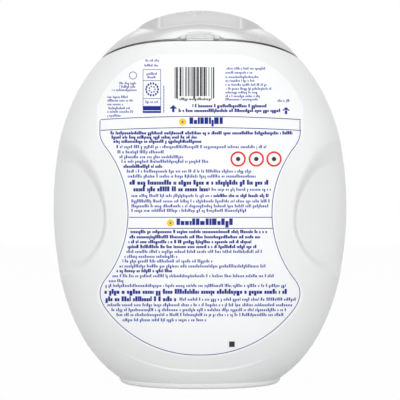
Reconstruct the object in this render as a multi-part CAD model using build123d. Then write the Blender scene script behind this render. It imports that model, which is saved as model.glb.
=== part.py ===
from build123d import *
import math
import os

# Laundry pod tub, in millimetres: +Z up, the label side faces -Y, the latch side +Y.
# The origin is the centre of the foot, on the surface that the tub stands on.

# Blow-moulded tub
belly_half_width = 102.2
belly_half_depth = 75.2
belly_height = 120.0
belly_to_foot = 128.0
belly_to_crown = 137.9
tub_wall = 1.3
section_power = 2.5
end_section_power = 2.2
lower_depth_power = 0.88
upper_depth_power = 0.63

# Foot and the pushed-up base
foot_height = 4.2
foot_step = 0.7
foot_round = 1.6
base_ring_width = 9.0
push_up_height = 2.4

# Thumb scoops at the four corners, ellipses seen from the back
scoop_centre_x = 102.0
scoop_centre_z = 121.0
scoop_half_width = 38.0
scoop_half_height = 51.0
scoop_depth = 5.2
scoop_wall_share = 0.14
scoop_full_depth_y = 60.0

# Raised edge under the label panel
panel_edge_height = 13.0
panel_edge_rise = 18.3
panel_edge_reach = 62.0
panel_edge_relief = 0.9
panel_edge_width = 3.5
panel_edge_fade = 45.0

# Arched parting line between tub and lid
parting_height = 232.5
parting_drop = 9.5
parting_reach = 71.5
parting_power = 3.4
parting_gap = 0.8

# Neck of the tub and its snap bead
neck_half_width = 51.5
neck_half_depth = 42.0
neck_wall = 1.8
neck_height = 5.0
neck_bead_relief = 0.6
neck_bead_low = 2.4
neck_bead_high = 3.5

# Collar snapped over the neck
collar_wall = 1.6
collar_clearance = 0.3
collar_lip = 1.2

# Lid shell: a dome cut by a steep skirt, with a crowned pad on top
lid_wall = 1.8
dome_half_width = 75.6
dome_half_depth = 70.0
dome_rise = 50.3
dome_centre_height = 204.75
skirt_half_width = 72.5
skirt_half_depth = 62.7
skirt_datum_height = 223.0
skirt_side_slope = 0.90
skirt_back_slope = 0.808
skirt_power = 2.1
pad_half_width = 44.0
pad_half_depth = 38.5
pad_corner_x = 27.0
pad_face_bulge = 1.0
pad_corner_radius = 2.0
pad_top_height = 258.0
pad_crown_half_width = 74.0
pad_crown_half_depth = 130.0
pad_crown_rise = 60.0
seal_ring_wall = 1.2
seal_ring_clearance = 0.9
seal_ring_engagement = 1.2

# Hinge recess and hinge at the middle of the back
recess_width = 35.0
recess_height = 5.5
recess_depth = 3.0
hinge_y = -53.3
hinge_height = 234.9
hinge_radius = 1.5
hinge_pin_radius = 0.8
hinge_pin_clearance = 0.08
hinge_pin_length = 4.0
hinge_knuckle_width = 18.0
hinge_side_clearance = 0.35
hinge_ear_width = 3.6
hinge_tongue_thickness = 1.1

# Child-resistant press tabs at the two front corners
tab_centre_x = 34.0
tab_centre_y = 47.5
tab_angle = 28.0
tab_width = 21.0
tab_top_height = 236.2
tab_thickness = 2.0
tab_clearance = 0.4
tab_travel = 2.0
tab_stem_width = 8.0
tab_stem_thickness = 1.3
tab_stem_end = 8.2
guide_floor = 1.1
guide_rail_width = 1.4
guide_rail_height = 3.2
guide_front = 7.6
guide_clearance = 0.25
seat_clearance = 0.3

# Back label
label_gap = 0.12
label_thickness = 0.2
label_top = 223.0
label_top_half_width = 37.0
label_half_width = 66.8
label_shoulder_height = 188.0
label_upper_corner_height = 167.5
label_waist_half_width = 47.0
label_waist_height = 120.5
label_lower_corner_height = 74.0
label_hip_height = 64.0
label_bottom = 22.0
label_bottom_side_x = 49.5
label_bottom_side_z = 40.0

# Resolution of the moulded surfaces
points_round = 56
oval_points = 20
arch_stations = 5
skirt_base_height = 216.0
skirt_crown_height = 262.0
hull_top_height = 246.0


def smooth_step(value):
    """0 below 0, 1 above 1, and a soft S between them."""
    t = min(1.0, max(0.0, value))
    return t * t * (3 - 2 * t)


def width_ratio(z):
    """Half width at height z, as a share of the belly's."""
    if z < belly_height:
        drop = (belly_height - z) / belly_to_foot
        return (1 - drop**1.9) ** (1 / 3)
    climb = (z - belly_height) / belly_to_crown
    return (1 - climb**2.27) ** 0.5


def panel_relief(x, z):
    """How far the label panel stands out, with its lower edge a curved line."""
    edge = panel_edge_height + panel_edge_rise * (abs(x) / panel_edge_reach) ** 2.4
    rise = smooth_step((z - edge) / panel_edge_width)
    fade_up = 1 - smooth_step((z - edge) / panel_edge_fade)
    fade_out = 1 - smooth_step(abs(x) / panel_edge_reach - 0.1)
    return panel_edge_relief * rise * fade_up * fade_out


def scoop_relief(x, y, z):
    """How deep the thumb scoop is at a point of the wall."""
    ellipse = math.hypot((abs(x) - scoop_centre_x) / scoop_half_width,
                         (z - scoop_centre_z) / scoop_half_height)
    inside = smooth_step((1 - ellipse) / scoop_wall_share)
    return scoop_depth * inside * smooth_step(abs(y) / scoop_full_depth_y)


def superellipse_point(half_width, half_depth, power, angle):
    """A point of a superellipse and its outward normal, both in the plane."""
    cosine, sine = math.cos(angle), math.sin(angle)
    x = half_width * math.copysign(abs(cosine) ** (2 / power), cosine)
    y = half_depth * math.copysign(abs(sine) ** (2 / power), sine)
    nx = math.copysign(abs(x / half_width) ** (power - 1) / half_width, x)
    ny = math.copysign(abs(y / half_depth) ** (power - 1) / half_depth, y)
    length = math.hypot(nx, ny)
    return x, y, nx / length, ny / length


def closed_ring(points):
    """A smooth closed wire through points, evenly spaced in its own parameter."""
    shares = [i / len(points) for i in range(len(points) + 1)]
    return Wire([Edge.make_spline(points, periodic=True, parameters=shares)])


def oval_ring(half_width, half_depth, power, z):
    """A superellipse at height z."""
    turns = [2 * math.pi * i / oval_points for i in range(oval_points)]
    flat = [superellipse_point(half_width, half_depth, power, turn) for turn in turns]
    return closed_ring([Vector(x, y, z) for x, y, nx, ny in flat])


def oval_prism(half_width, half_depth, power, low, high):
    """A straight block of superelliptic section."""
    face = Face(oval_ring(half_width, half_depth, power, low))
    return Solid.extrude(face, Vector(0, 0, high - low))


def hull_ring(z, inset):
    """The tub's wall at height z, moved inwards by inset."""
    share = width_ratio(z)
    depth_power = upper_depth_power if z > belly_height else lower_depth_power
    half_width = belly_half_width * share - inset
    half_depth = belly_half_depth * share**depth_power - inset
    power = end_section_power + (section_power - end_section_power) * smooth_step((share - 0.55) / 0.4)
    points = []
    for i in range(points_round):
        angle = 2 * math.pi * i / points_round
        x, y, nx, ny = superellipse_point(half_width, half_depth, power, angle)
        relief = panel_relief(x, z) - scoop_relief(x, y, z)
        points.append(Vector(x + nx * relief, y + ny * relief, z))
    return closed_ring(points)


def hull_heights():
    """Heights of the wall's sections, closer together over the panel edge and the scoops."""
    lower = [foot_height + 3.6 * i for i in range(9)]
    waist_low = scoop_centre_z - scoop_half_height
    waist = [waist_low - 6 + 6.0 * i for i in range(20)]
    between = [lower[-1] + (waist[0] - lower[-1]) * i / 3 for i in range(1, 3)]
    upper = [waist[-1] + (hull_top_height - waist[-1]) * i / 6 for i in range(1, 7)]
    return lower + between + waist + upper


def hull_block(inset, low):
    """The tub's outer form moved inwards by inset, from height low up."""
    heights = [z for z in hull_heights() if z > low + 1.0]
    return Solid.make_loft([hull_ring(z, inset) for z in [low] + heights])


def parting_z(x, lift):
    """Height of the parting line at x, raised by lift."""
    return parting_height - parting_drop * (abs(x) / parting_reach) ** parting_power + lift


def arch_block(low_lift, high_lift):
    """Everything between two copies of the parting surface; None goes far up or down."""
    reach = belly_half_width + 8
    stations = [reach * (i / arch_stations - 1) for i in range(2 * arch_stations + 1)]
    edges = []
    for lift, flat in ((low_lift, 0.0), (high_lift, skirt_crown_height + 40)):
        if lift is None:
            edges.append(Edge.make_line(Vector(-reach, 0, flat), Vector(reach, 0, flat)))
        else:
            edges.append(Edge.make_spline([Vector(x, 0, parting_z(x, lift)) for x in stations]))
    low, high = edges
    sides = [Edge.make_line(low @ 0, high @ 0), Edge.make_line(low @ 1, high @ 1)]
    face = Face(Wire([low, sides[1], high, sides[0]]))
    depth = belly_half_depth * 2
    return Solid.extrude(face, Vector(0, depth, 0)).moved(Location((0, -depth / 2, 0)))


def neck_ring(offset, low_lift, high_lift):
    """A block of the neck's plan grown by offset, between two lifts of the parting surface."""
    block = oval_prism(neck_half_width + offset, neck_half_depth + offset, end_section_power,
                       parting_height - parting_drop - 20, parting_height + 30)
    return block & arch_block(low_lift, high_lift)


def make_tub_body():
    """One blown wall: foot, pushed-up base, belly with scoops, arched shoulder and neck."""
    foot_share = width_ratio(foot_height)
    foot_width = belly_half_width * foot_share - foot_step
    foot_depth = belly_half_depth * foot_share**lower_depth_power - foot_step
    foot = oval_prism(foot_width, foot_depth, end_section_power, 0, foot_height + 0.4)
    foot = foot.fillet(foot_round, [foot.edges().sort_by(Axis.Z)[0]])
    outer = hull_block(0, foot_height) & arch_block(None, 0)
    outer = outer + foot + neck_ring(0, -tub_wall, neck_height)
    outer = outer + (neck_ring(neck_bead_relief, neck_bead_low, neck_bead_high))
    cavity = hull_block(tub_wall, foot_height + tub_wall * 0.7) & arch_block(None, -tub_wall)
    cavity = cavity + neck_ring(-neck_wall, -tub_wall - 8, neck_height + 4)
    channel = oval_prism(foot_width - tub_wall, foot_depth - tub_wall, end_section_power,
                         tub_wall, foot_height + tub_wall)
    boss = oval_prism(foot_width - base_ring_width + tub_wall, foot_depth - base_ring_width + tub_wall,
                      end_section_power, 0, push_up_height + tub_wall)
    push_up = oval_prism(foot_width - base_ring_width, foot_depth - base_ring_width,
                         end_section_power, -1, push_up_height)
    cavity = cavity + channel - boss
    return outer - cavity - push_up


def skirt_block(inset):
    """The lid's steep outer band as a tapering block, moved inwards by inset."""
    rings = []
    for z in (skirt_base_height, skirt_crown_height):
        climb = z - skirt_datum_height
        rings.append(oval_ring(skirt_half_width - skirt_side_slope * climb - inset,
                               skirt_half_depth - skirt_back_slope * climb - inset, skirt_power, z))
    return Solid.make_loft(rings, ruled=True)


def dome_block(inset):
    """The lid's dome, an ellipsoid, moved inwards by inset."""
    ball = scale(Sphere(1), by=(dome_half_width - inset, dome_half_depth - inset, dome_rise - inset))
    return ball.moved(Location((0, 0, dome_centre_height)))


def pad_block(inset):
    """The raised pad: straight walls with four corners under a crowned top."""
    half_width = pad_half_width - inset
    half_depth = pad_half_depth - inset
    corner_x = pad_corner_x - inset
    corner_y = half_depth - pad_face_bulge
    back = ThreePointArc((-corner_x, -corner_y), (0, -half_depth), (corner_x, -corner_y))
    right = ThreePointArc((corner_x, -corner_y), (half_width, 0), (corner_x, corner_y))
    front = ThreePointArc((corner_x, corner_y), (0, half_depth), (-corner_x, corner_y))
    left = ThreePointArc((-corner_x, corner_y), (-half_width, 0), (-corner_x, -corner_y))
    outline = make_face(back + right + front + left)
    outline = fillet(outline.vertices(), pad_corner_radius)
    foot_height_of_pad = dome_centre_height + dome_rise / 2
    block = extrude(outline, pad_top_height + 5 - foot_height_of_pad)
    block = block.moved(Location((0, 0, foot_height_of_pad)))
    crown = scale(Sphere(1), by=(pad_crown_half_width - inset, pad_crown_half_depth - inset,
                                 pad_crown_rise - inset))
    return block & crown.moved(Location((0, 0, pad_top_height - pad_crown_rise)))


def arch_cylinder(grow):
    """The hinge recess seen from behind: a flat-bottomed arch."""
    radius = (recess_width**2 / 4 + recess_height**2) / (2 * recess_height)
    centre = parting_height + recess_height - radius
    tube = Cylinder(radius + grow, skirt_half_depth, rotation=(90, 0, 0))
    return tube.moved(Location((0, -skirt_half_depth / 2 - 12, centre)))


def hinge_bar(radius, low_x, high_x):
    """A round bar on the hinge axis."""
    bar = Cylinder(radius, high_x - low_x, rotation=(0, 90, 0))
    return bar.moved(Location(((low_x + high_x) / 2, hinge_y, hinge_height)))


def block_between(low, high):
    """A plain block between two corners."""
    size = [high[i] - low[i] for i in range(3)]
    centre = [(high[i] + low[i]) / 2 for i in range(3)]
    return Box(*size).moved(Location(tuple(centre)))


def tab_place(side):
    """Frame of one press tab: X along the skirt, Y outwards, on the parting line."""
    level = parting_z(tab_centre_x, 0)
    turn = -side * tab_angle
    return Location((side * tab_centre_x, tab_centre_y, level), (0, 0, turn))


def tab_window(side, grow):
    """The outline of a press tab through the skirt, grown by grow all round."""
    level = parting_z(tab_centre_x, 0)
    half = tab_width / 2 + grow
    top = tab_top_height + grow - level
    window = block_between((-half, -14, -4), (half, 8, top))
    window = fillet(window.edges().filter_by(Axis.Y).group_by(Axis.Z)[-1], 1.6)
    return window.moved(tab_place(side))


def make_lid():
    """One moulding: dome, skirt, pad, seal ring, hinge recess, ears and pins, tab windows."""
    outer = (skirt_block(0) & dome_block(0)) + pad_block(0)
    hollow = (skirt_block(lid_wall * 1.25) & dome_block(lid_wall)) + pad_block(lid_wall)
    shell = outer - hollow
    backing = (outer & arch_cylinder(lid_wall)) - skirt_block(recess_depth + lid_wall)
    backing = backing & block_between((-recess_width, -80, 0), (recess_width, -30, 300))
    shell = shell + backing
    scoop = arch_cylinder(0) - skirt_block(recess_depth)
    shell = shell - (scoop & block_between((-recess_width, -80, 0), (recess_width, -30, 300)))
    shell = shell & arch_block(parting_gap, None)

    half_knuckle = hinge_knuckle_width / 2 + hinge_side_clearance
    tongue_top = parting_height + seat_clearance + hinge_tongue_thickness
    slot = block_between((-half_knuckle, -80, parting_height - 5),
                         (half_knuckle, -neck_half_depth - 3, tongue_top + 0.5))
    shell = shell - slot
    for side in (-1, 1):
        inner_x = side * half_knuckle
        outer_x = side * (half_knuckle + hinge_ear_width)
        pin_x = side * (half_knuckle - hinge_pin_length)
        low_x, high_x = sorted((inner_x, outer_x))
        ear = hinge_bar(hinge_radius, low_x, high_x)
        web = block_between((low_x, hinge_y, hinge_height - hinge_radius * 0.8),
                            (high_x, hinge_y + recess_depth + 2.2, hinge_height + hinge_radius * 0.8))
        low_pin, high_pin = sorted((pin_x, (inner_x + outer_x) / 2))
        shell = shell + ear + web + hinge_bar(hinge_pin_radius, low_pin, high_pin)
    for side in (-1, 1):
        shell = shell - tab_window(side, tab_clearance)

    ring_offset = -neck_wall - seal_ring_clearance
    ring_low = neck_height + seat_clearance + collar_lip - seal_ring_engagement
    ring = neck_ring(ring_offset, ring_low, 30) - neck_ring(ring_offset - seal_ring_wall, ring_low - 1, 31)
    return shell + (ring & dome_block(lid_wall * 0.5))


def make_collar():
    """Ring snapped over the neck, with the hinge knuckle behind and two tab guides in front."""
    top = neck_height + seat_clearance + collar_lip
    outer = neck_ring(collar_clearance + collar_wall, seat_clearance, top)
    bore = neck_ring(collar_clearance, seat_clearance - 1, neck_height + seat_clearance)
    mouth = neck_ring(-neck_wall, seat_clearance - 1, top + 2)
    groove = neck_ring(neck_bead_relief + collar_clearance, neck_bead_low - seat_clearance,
                       neck_bead_high + seat_clearance)
    ring = outer - bore - mouth - groove

    low = parting_height + seat_clearance
    half = hinge_knuckle_width / 2
    ring_back = -neck_half_depth - collar_clearance - collar_wall
    tongue = block_between((-half, hinge_y, low), (half, ring_back + 0.6, low + hinge_tongue_thickness))
    neck = block_between((-half, hinge_y - hinge_radius * 0.6, low),
                         (half, hinge_y + hinge_radius * 0.6, hinge_height))
    knuckle = tongue + neck + hinge_bar(hinge_radius, -half, half)
    ring = ring + knuckle
    bore_radius = hinge_pin_radius + hinge_pin_clearance
    ring = ring - hinge_bar(bore_radius, -half - 1, half + 1)

    for side in (-1, 1):
        ring = ring + make_tab_guide(side)
    return ring


def make_tab_guide(side):
    """Floor and two rails that a press tab's stem slides between."""
    inner = tab_stem_width / 2 + guide_clearance
    back = 12.0
    low = seat_clearance
    floor = block_between((-inner - guide_rail_width, -back, low),
                          (inner + guide_rail_width, -guide_front, low + guide_floor))
    rails = []
    for rail_side in (-1, 1):
        low_x, high_x = sorted((rail_side * inner, rail_side * (inner + guide_rail_width)))
        rails.append(block_between((low_x, -back, low), (high_x, -guide_front, low + guide_rail_height)))
    guide = (floor + rails).moved(tab_place(side)) & arch_block(seat_clearance, None)
    return guide - neck_ring(collar_clearance + collar_wall * 0.5, -10, 20)


def make_latch_tab(side):
    """A press pad that follows the skirt, with its sliding stem."""
    shell = (skirt_block(0) & dome_block(0)) - skirt_block(tab_thickness * 1.25)
    pad = shell & tab_window(side, 0) & arch_block(parting_gap + tab_clearance * 0.5, None)
    low = seat_clearance + guide_floor + guide_clearance
    half = tab_stem_width / 2
    stem = block_between((-half, -tab_stem_end, low), (half, -2.2, low + tab_stem_thickness))
    return pad + stem.moved(tab_place(side))


def label_outline():
    """Half outlines of the label seen from behind, mirrored into one face."""
    edges = []
    for side in (-1, 1):
        top = Edge.make_line(Vector(0, 0, label_top), Vector(side * label_top_half_width, 0, label_top))
        shoulder = Edge.make_tangent_arc(
            Vector(side * label_top_half_width, 0, label_top), Vector(side, 0, 0),
            Vector(side * label_half_width, 0, label_shoulder_height))
        flank = Edge.make_line(Vector(side * label_half_width, 0, label_shoulder_height),
                               Vector(side * label_half_width, 0, label_upper_corner_height))
        waist = Edge.make_three_point_arc(
            Vector(side * label_half_width, 0, label_upper_corner_height),
            Vector(side * label_waist_half_width, 0, label_waist_height),
            Vector(side * label_half_width, 0, label_lower_corner_height))
        hip = Edge.make_line(Vector(side * label_half_width, 0, label_lower_corner_height),
                             Vector(side * label_half_width, 0, label_hip_height))
        bottom = Edge.make_three_point_arc(
            Vector(side * label_half_width, 0, label_hip_height),
            Vector(side * label_bottom_side_x, 0, label_bottom_side_z),
            Vector(0, 0, label_bottom))
        edges += [top, shoulder, flank, waist, hip, bottom]
    return Face(Wire(edges))


def make_back_label():
    """A thin printed skin that lies on the panel."""
    prism = Solid.extrude(label_outline(), Vector(0, -belly_half_depth * 1.2, 0))
    skin = hull_block(-label_gap - label_thickness, foot_height) & prism
    return skin - hull_block(-label_gap, foot_height)


os.makedirs("parts", exist_ok=True)
export_step(make_tub_body(), "parts/tub_body.step")
export_step(make_collar(), "parts/collar.step")
export_step(make_lid(), "parts/lid.step")
export_step(make_latch_tab(-1), "parts/latch_tab_left.step")
export_step(make_latch_tab(1), "parts/latch_tab_right.step")
export_step(make_back_label(), "parts/back_label.step")
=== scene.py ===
"""A laundry pod tub: waisted blow-moulded body, arched hinged lid and a printed back label.

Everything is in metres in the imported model's frame: +Z up, the label and the hinge face -Y, the press
tabs face +Y. The origin is the centre of the foot.
"""

from __future__ import annotations

import logging
import math
from dataclasses import dataclass, field
from enum import Enum
from typing import Callable

import bpy
import numpy as np
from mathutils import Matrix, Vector

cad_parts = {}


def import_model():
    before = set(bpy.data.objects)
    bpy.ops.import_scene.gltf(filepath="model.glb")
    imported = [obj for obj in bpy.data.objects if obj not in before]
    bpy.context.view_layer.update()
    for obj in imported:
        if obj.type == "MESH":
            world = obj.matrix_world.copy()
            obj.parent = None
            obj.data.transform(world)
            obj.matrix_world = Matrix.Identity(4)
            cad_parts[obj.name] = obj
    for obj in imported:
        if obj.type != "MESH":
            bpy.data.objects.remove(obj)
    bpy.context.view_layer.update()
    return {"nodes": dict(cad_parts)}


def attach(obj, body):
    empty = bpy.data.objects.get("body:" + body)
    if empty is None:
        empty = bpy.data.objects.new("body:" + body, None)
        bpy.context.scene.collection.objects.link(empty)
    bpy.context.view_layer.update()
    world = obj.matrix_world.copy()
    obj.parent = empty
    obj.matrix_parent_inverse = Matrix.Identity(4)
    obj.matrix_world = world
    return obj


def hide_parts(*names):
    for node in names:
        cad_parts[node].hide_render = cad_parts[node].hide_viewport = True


LOG = logging.getLogger("laundry_pod_tub")
Array = np.ndarray
Colour = tuple[float, float, float]

SHARP_ANGLE = math.radians(42)


def smooth_step(value: Array) -> Array:
    """0 below 0, 1 above 1, and a soft S between them: t squared times 3 less 2t."""
    t = np.clip(value, 0.0, 1.0)
    return t * t * (3.0 - 2.0 * t)


def smooth_min(a: Array, b: Array, width: float) -> Array:
    """The lower of two surfaces, rounded over about width where they cross."""
    return 0.5 * (a + b - np.sqrt((a - b) ** 2 + width**2))


def oval_radius(turn: Array, half_width: Array, half_depth: Array, power: Array) -> Array:
    """Distance from the middle to a superellipse in the direction turn.

    Args:
        turn: Direction in radians, from +X towards +Y.
        half_width: Half size along X.
        half_depth: Half size along Y.
        power: 2 is an ellipse, and more is squarer.

    Returns:
        (|cos/width|^power + |sin/depth|^power)^(-1/power).
    """
    share = np.abs(np.cos(turn) / half_width) ** power + np.abs(np.sin(turn) / half_depth) ** power
    return share ** (-1.0 / power)


def polar(turn: Array, radius: Array, z: Array) -> Array:
    """Points at a direction, a distance out from the middle and a height.

    Args:
        turn: Directions in radians, from +X towards +Y.
        radius: Distances out.
        z: Heights, or one height for all.

    Returns:
        Points, with a last axis for the coordinates.
    """
    x = radius * np.cos(turn)
    return np.stack([x, radius * np.sin(turn), np.broadcast_to(z, x.shape)], -1)


def stretched(stretches: list[tuple[Array, Array, int]]) -> list[Array]:
    """Even steps through stretches that follow each other, without the end of the last.

    Args:
        stretches: Start, end and number of steps of each.

    Returns:
        Values of every step, in order.
    """
    return [low + (high - low) * share
            for low, high, count in stretches for share in np.linspace(0, 1, count, endpoint=False)]


def circle_through(a: Array, b: Array, c: Array) -> tuple[float, float, float]:
    """Centre and radius of the circle through three points of a plane.

    Args:
        a: First point.
        b: Second point.
        c: Third point.

    Returns:
        Centre x, centre y and radius.
    """
    first, second = np.subtract(b, a), np.subtract(c, a)
    system = 2.0 * np.array([first, second])
    middle = np.linalg.solve(system, [first @ first, second @ second])
    return a[0] + middle[0], a[1] + middle[1], float(np.hypot(*middle))


@dataclass
class Skin:
    """A mesh as whole arrays: points, faces with four corners and faces with three."""

    points: Array
    quads: Array
    triangles: Array = field(default_factory=lambda: np.zeros((0, 3), int))

    @classmethod
    def turned(cls, rows: Array, first: Array | None = None, last: Array | None = None) -> Skin:
        """A surface of closed rings, each joined to the next, with a pole at either end.

        Args:
            rows: Rings as an array of ring, point and coordinate.
            first: Point that closes the first ring, or None to join the last ring to the first.
            last: Point that closes the last ring.

        Returns:
            The closed surface.
        """
        count, around = rows.shape[:2]
        looped = first is None
        ring = np.arange(count if looped else count - 1)[:, None] * around
        above = (ring + around) % (count * around)
        here = np.arange(around)[None, :]
        after = (here + 1) % around
        quads = np.stack([ring + here, ring + after, above + after, above + here], -1).reshape(-1, 4)
        points = rows.reshape(-1, 3)
        if looped:
            return cls(points, quads)
        here, after = here[0], after[0]
        low, high = len(points), len(points) + 1
        top = (count - 1) * around
        caps = [np.stack([np.full(around, low), after, here], -1),
                np.stack([top + here, top + after, np.full(around, high)], -1)]
        return cls(np.vstack([points, first, last]), quads, np.vstack(caps))

    @classmethod
    def slab(cls, outer: Array, inner: Array) -> Skin:
        """Two matching grids, closed to one solid by a wall along their four sides.

        Args:
            outer: Grid that faces out, as an array of column, row and coordinate.
            inner: The same grid behind it.

        Returns:
            The closed surface.
        """
        columns, rows = outer.shape[:2]
        index = np.arange(columns * rows).reshape(columns, rows)
        face = np.stack([index[:-1, :-1], index[1:, :-1], index[1:, 1:], index[:-1, 1:]], -1).reshape(-1, 4)
        rim = np.concatenate([index[:-1, 0], index[-1, :-1], index[:0:-1, -1], index[0, :0:-1]])
        after = np.roll(rim, -1)
        shift = columns * rows
        wall = np.stack([rim + shift, after + shift, after, rim], -1)
        points = np.vstack([outer.reshape(-1, 3), inner.reshape(-1, 3)])
        return cls(points, np.vstack([face, face[:, ::-1] + shift, wall]))

    @classmethod
    def joined(cls, skins: list[Skin]) -> Skin:
        """Several skins as one mesh."""
        shift = np.cumsum([0] + [len(skin.points) for skin in skins])
        return cls(np.vstack([skin.points for skin in skins]),
                   np.vstack([skin.quads + s for skin, s in zip(skins, shift)]),
                   np.vstack([skin.triangles + s for skin, s in zip(skins, shift)]))

    def to_object(self, name: str) -> bpy.types.Object:
        """Puts the arrays into a new mesh object with smooth faces and sharp creases.

        Args:
            name: Name of the object and of its mesh.

        Returns:
            The object, at the origin and linked to the scene.
        """
        mesh = bpy.data.meshes.new(name)
        corners = np.concatenate([self.quads.ravel(), self.triangles.ravel()])
        starts = np.concatenate([4 * np.arange(len(self.quads)),
                                 self.quads.size + 3 * np.arange(len(self.triangles))])
        mesh.vertices.add(len(self.points))
        mesh.vertices.foreach_set("co", self.points.astype(np.float32).ravel())
        mesh.loops.add(len(corners))
        mesh.loops.foreach_set("vertex_index", corners.astype(np.int32))
        mesh.polygons.add(len(starts))
        mesh.polygons.foreach_set("loop_start", starts.astype(np.int32))
        mesh.update(calc_edges=True)
        mesh.validate()
        smooth_faces(mesh)
        obj = bpy.data.objects.new(name, mesh)
        bpy.context.scene.collection.objects.link(obj)
        return obj


def smooth_faces(mesh: bpy.types.Mesh) -> None:
    """Smooth shading, with creases sharper than SHARP_ANGLE kept."""
    mesh.shade_smooth()
    mesh.set_sharp_from_angle(angle=SHARP_ANGLE)


def cut(obj: bpy.types.Object, cutters: list[Skin]) -> None:
    """Takes closed skins out of an object and leaves a plain mesh.

    Args:
        obj: Object that is cut.
        cutters: Closed skins, none of which touches another.
    """
    tool = Skin.joined(cutters).to_object(obj.name + "_cutter")
    modifier = obj.modifiers.new("cut", "BOOLEAN")
    modifier.operation = "DIFFERENCE"
    modifier.solver = "EXACT"
    modifier.object = tool
    graph = bpy.context.evaluated_depsgraph_get()
    made = bpy.data.meshes.new_from_object(obj.evaluated_get(graph))
    obj.modifiers.clear()
    before = obj.data
    obj.data = made
    smooth_faces(made)
    made.name = obj.name
    bpy.data.meshes.remove(before)
    bpy.data.meshes.remove(tool.data)


class Value:
    """A number that comes out of a shader node; Python's operators on it add Math nodes."""

    def __init__(self, tree: bpy.types.NodeTree, socket: bpy.types.NodeSocket) -> None:
        """Wraps a socket of a node tree."""
        self.tree = tree
        self.socket = socket

    def _math(self, operation: str, *terms: Value | float) -> Value:
        """One Math node on the given terms.

        Args:
            operation: Blender's name of the operation.
            *terms: Values or plain numbers.

        Returns:
            What the node gives.
        """
        node = self.tree.nodes.new("ShaderNodeMath")
        node.operation = operation
        for place, term in zip(node.inputs, terms):
            if isinstance(term, Value):
                self.tree.links.new(term.socket, place)
            else:
                place.default_value = term
        return Value(self.tree, node.outputs[0])

    def __add__(self, other: Value | float) -> Value:
        """This plus other."""
        return self._math("ADD", self, other)

    __radd__ = __add__

    def __mul__(self, other: Value | float) -> Value:
        """This times other."""
        return self._math("MULTIPLY", self, other)

    __rmul__ = __mul__

    def __sub__(self, other: Value | float) -> Value:
        """This less other."""
        return self._math("SUBTRACT", self, other)

    def __rsub__(self, other: Value | float) -> Value:
        """Other less this."""
        return self._math("SUBTRACT", other, self)

    def __truediv__(self, other: Value | float) -> Value:
        """This over other."""
        return self._math("DIVIDE", self, other)

    def magnitude(self) -> Value:
        """Its size without its sign."""
        return self._math("ABSOLUTE", self)

    def floor_at(self, other: Value | float) -> Value:
        """The larger of this and other."""
        return self._math("MAXIMUM", self, other)


def seen_rays(tree: bpy.types.NodeTree) -> Value:
    """1 for what the camera sees, straight, through clear matter or in a reflection, and else 0."""
    ray = tree.nodes.new("ShaderNodeLightPath")
    seen = Value(tree, ray.outputs["Is Camera Ray"])
    seen = seen.floor_at(Value(tree, ray.outputs["Is Transmission Ray"]))
    return seen.floor_at(Value(tree, ray.outputs["Is Glossy Ray"]))


class Workshop:
    """One material under construction: its node tree, its shader and its Object coordinates."""

    def __init__(self, name: str) -> None:
        """Makes an empty material with a Principled shader.

        Args:
            name: Name of the material.
        """
        self.material = bpy.data.materials.new(name)
        self.material.use_nodes = True
        self.tree = self.material.node_tree
        self.tree.nodes.clear()
        self.output = self.node("ShaderNodeOutputMaterial")
        self.shader = self.node("ShaderNodeBsdfPrincipled")
        self.tree.links.new(self.shader.outputs[0], self.output.inputs["Surface"])
        self.place = self.node("ShaderNodeTexCoord").outputs["Object"]

    def node(self, kind: str, settings: dict | None = None, inputs: dict | None = None) -> bpy.types.Node:
        """Adds any node.

        Args:
            kind: Blender's name of the node type.
            settings: Properties of the node, set first.
            inputs: Values or links of its sockets, by name or number.

        Returns:
            The node.
        """
        made = self.tree.nodes.new(kind)
        for key, value in (settings or {}).items():
            setattr(made, key, value)
        for key, value in (inputs or {}).items():
            if isinstance(value, Value):
                value = value.socket
            if isinstance(value, bpy.types.NodeSocket):
                self.tree.links.new(value, made.inputs[key])
            else:
                made.inputs[key].default_value = value
        return made

    def noise(self, scale: float, detail: float = 3.0, stretch: Colour = (1.0, 1.0, 1.0)) -> Value:
        """A cloud pattern fixed to the piece.

        Args:
            scale: Patches per metre.
            detail: Number of finer layers.
            stretch: How much faster it changes along each axis.

        Returns:
            The pattern, about 0.3 to 0.7.
        """
        mapped = self.node("ShaderNodeMapping", inputs={"Vector": self.place, "Scale": stretch})
        cloud = self.node("ShaderNodeTexNoise",
                          inputs={"Vector": mapped.outputs[0], "Scale": scale, "Detail": detail})
        return Value(self.tree, cloud.outputs["Fac"])

    def axis(self, name: str) -> Value:
        """One Object coordinate, by the letter of its axis."""
        parts = self.node("ShaderNodeSeparateXYZ", inputs={0: self.place})
        return Value(self.tree, parts.outputs[name])

    def blend(self, share: Value, first: Colour, second: Colour) -> bpy.types.NodeSocket:
        """A colour between two colours.

        Args:
            share: 0 gives first and 1 gives second.
            first: Linear colour.
            second: Linear colour.

        Returns:
            The colour's socket.
        """
        mix = self.node("ShaderNodeMix", {"data_type": "RGBA"},
                        {0: share, 6: (*first, 1.0), 7: (*second, 1.0)})
        return mix.outputs[2]

    def relief(self, height: Value, depth: float) -> None:
        """Bumps the surface by a pattern of height 0 to 1 and a depth in metres."""
        bump = self.node("ShaderNodeBump", inputs={"Strength": 1.0, "Distance": depth, "Height": height})
        self.tree.links.new(bump.outputs[0], self.shader.inputs["Normal"])

    def set(self, **values: float | Colour) -> None:
        """Sets the shader's sockets, named with underscores, to plain values.

        Args:
            **values: Plain values by socket name, with underscores for spaces.
        """
        for key, value in values.items():
            socket = self.shader.inputs[key.replace("_", " ")]
            socket.default_value = (*value, 1.0) if socket.type == "RGBA" else value

    def feed(self, socket: str, source: Value | bpy.types.NodeSocket) -> None:
        """Links a pattern to one of the shader's sockets."""
        link = source.socket if isinstance(source, Value) else source
        self.tree.links.new(link, self.shader.inputs[socket])


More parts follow.
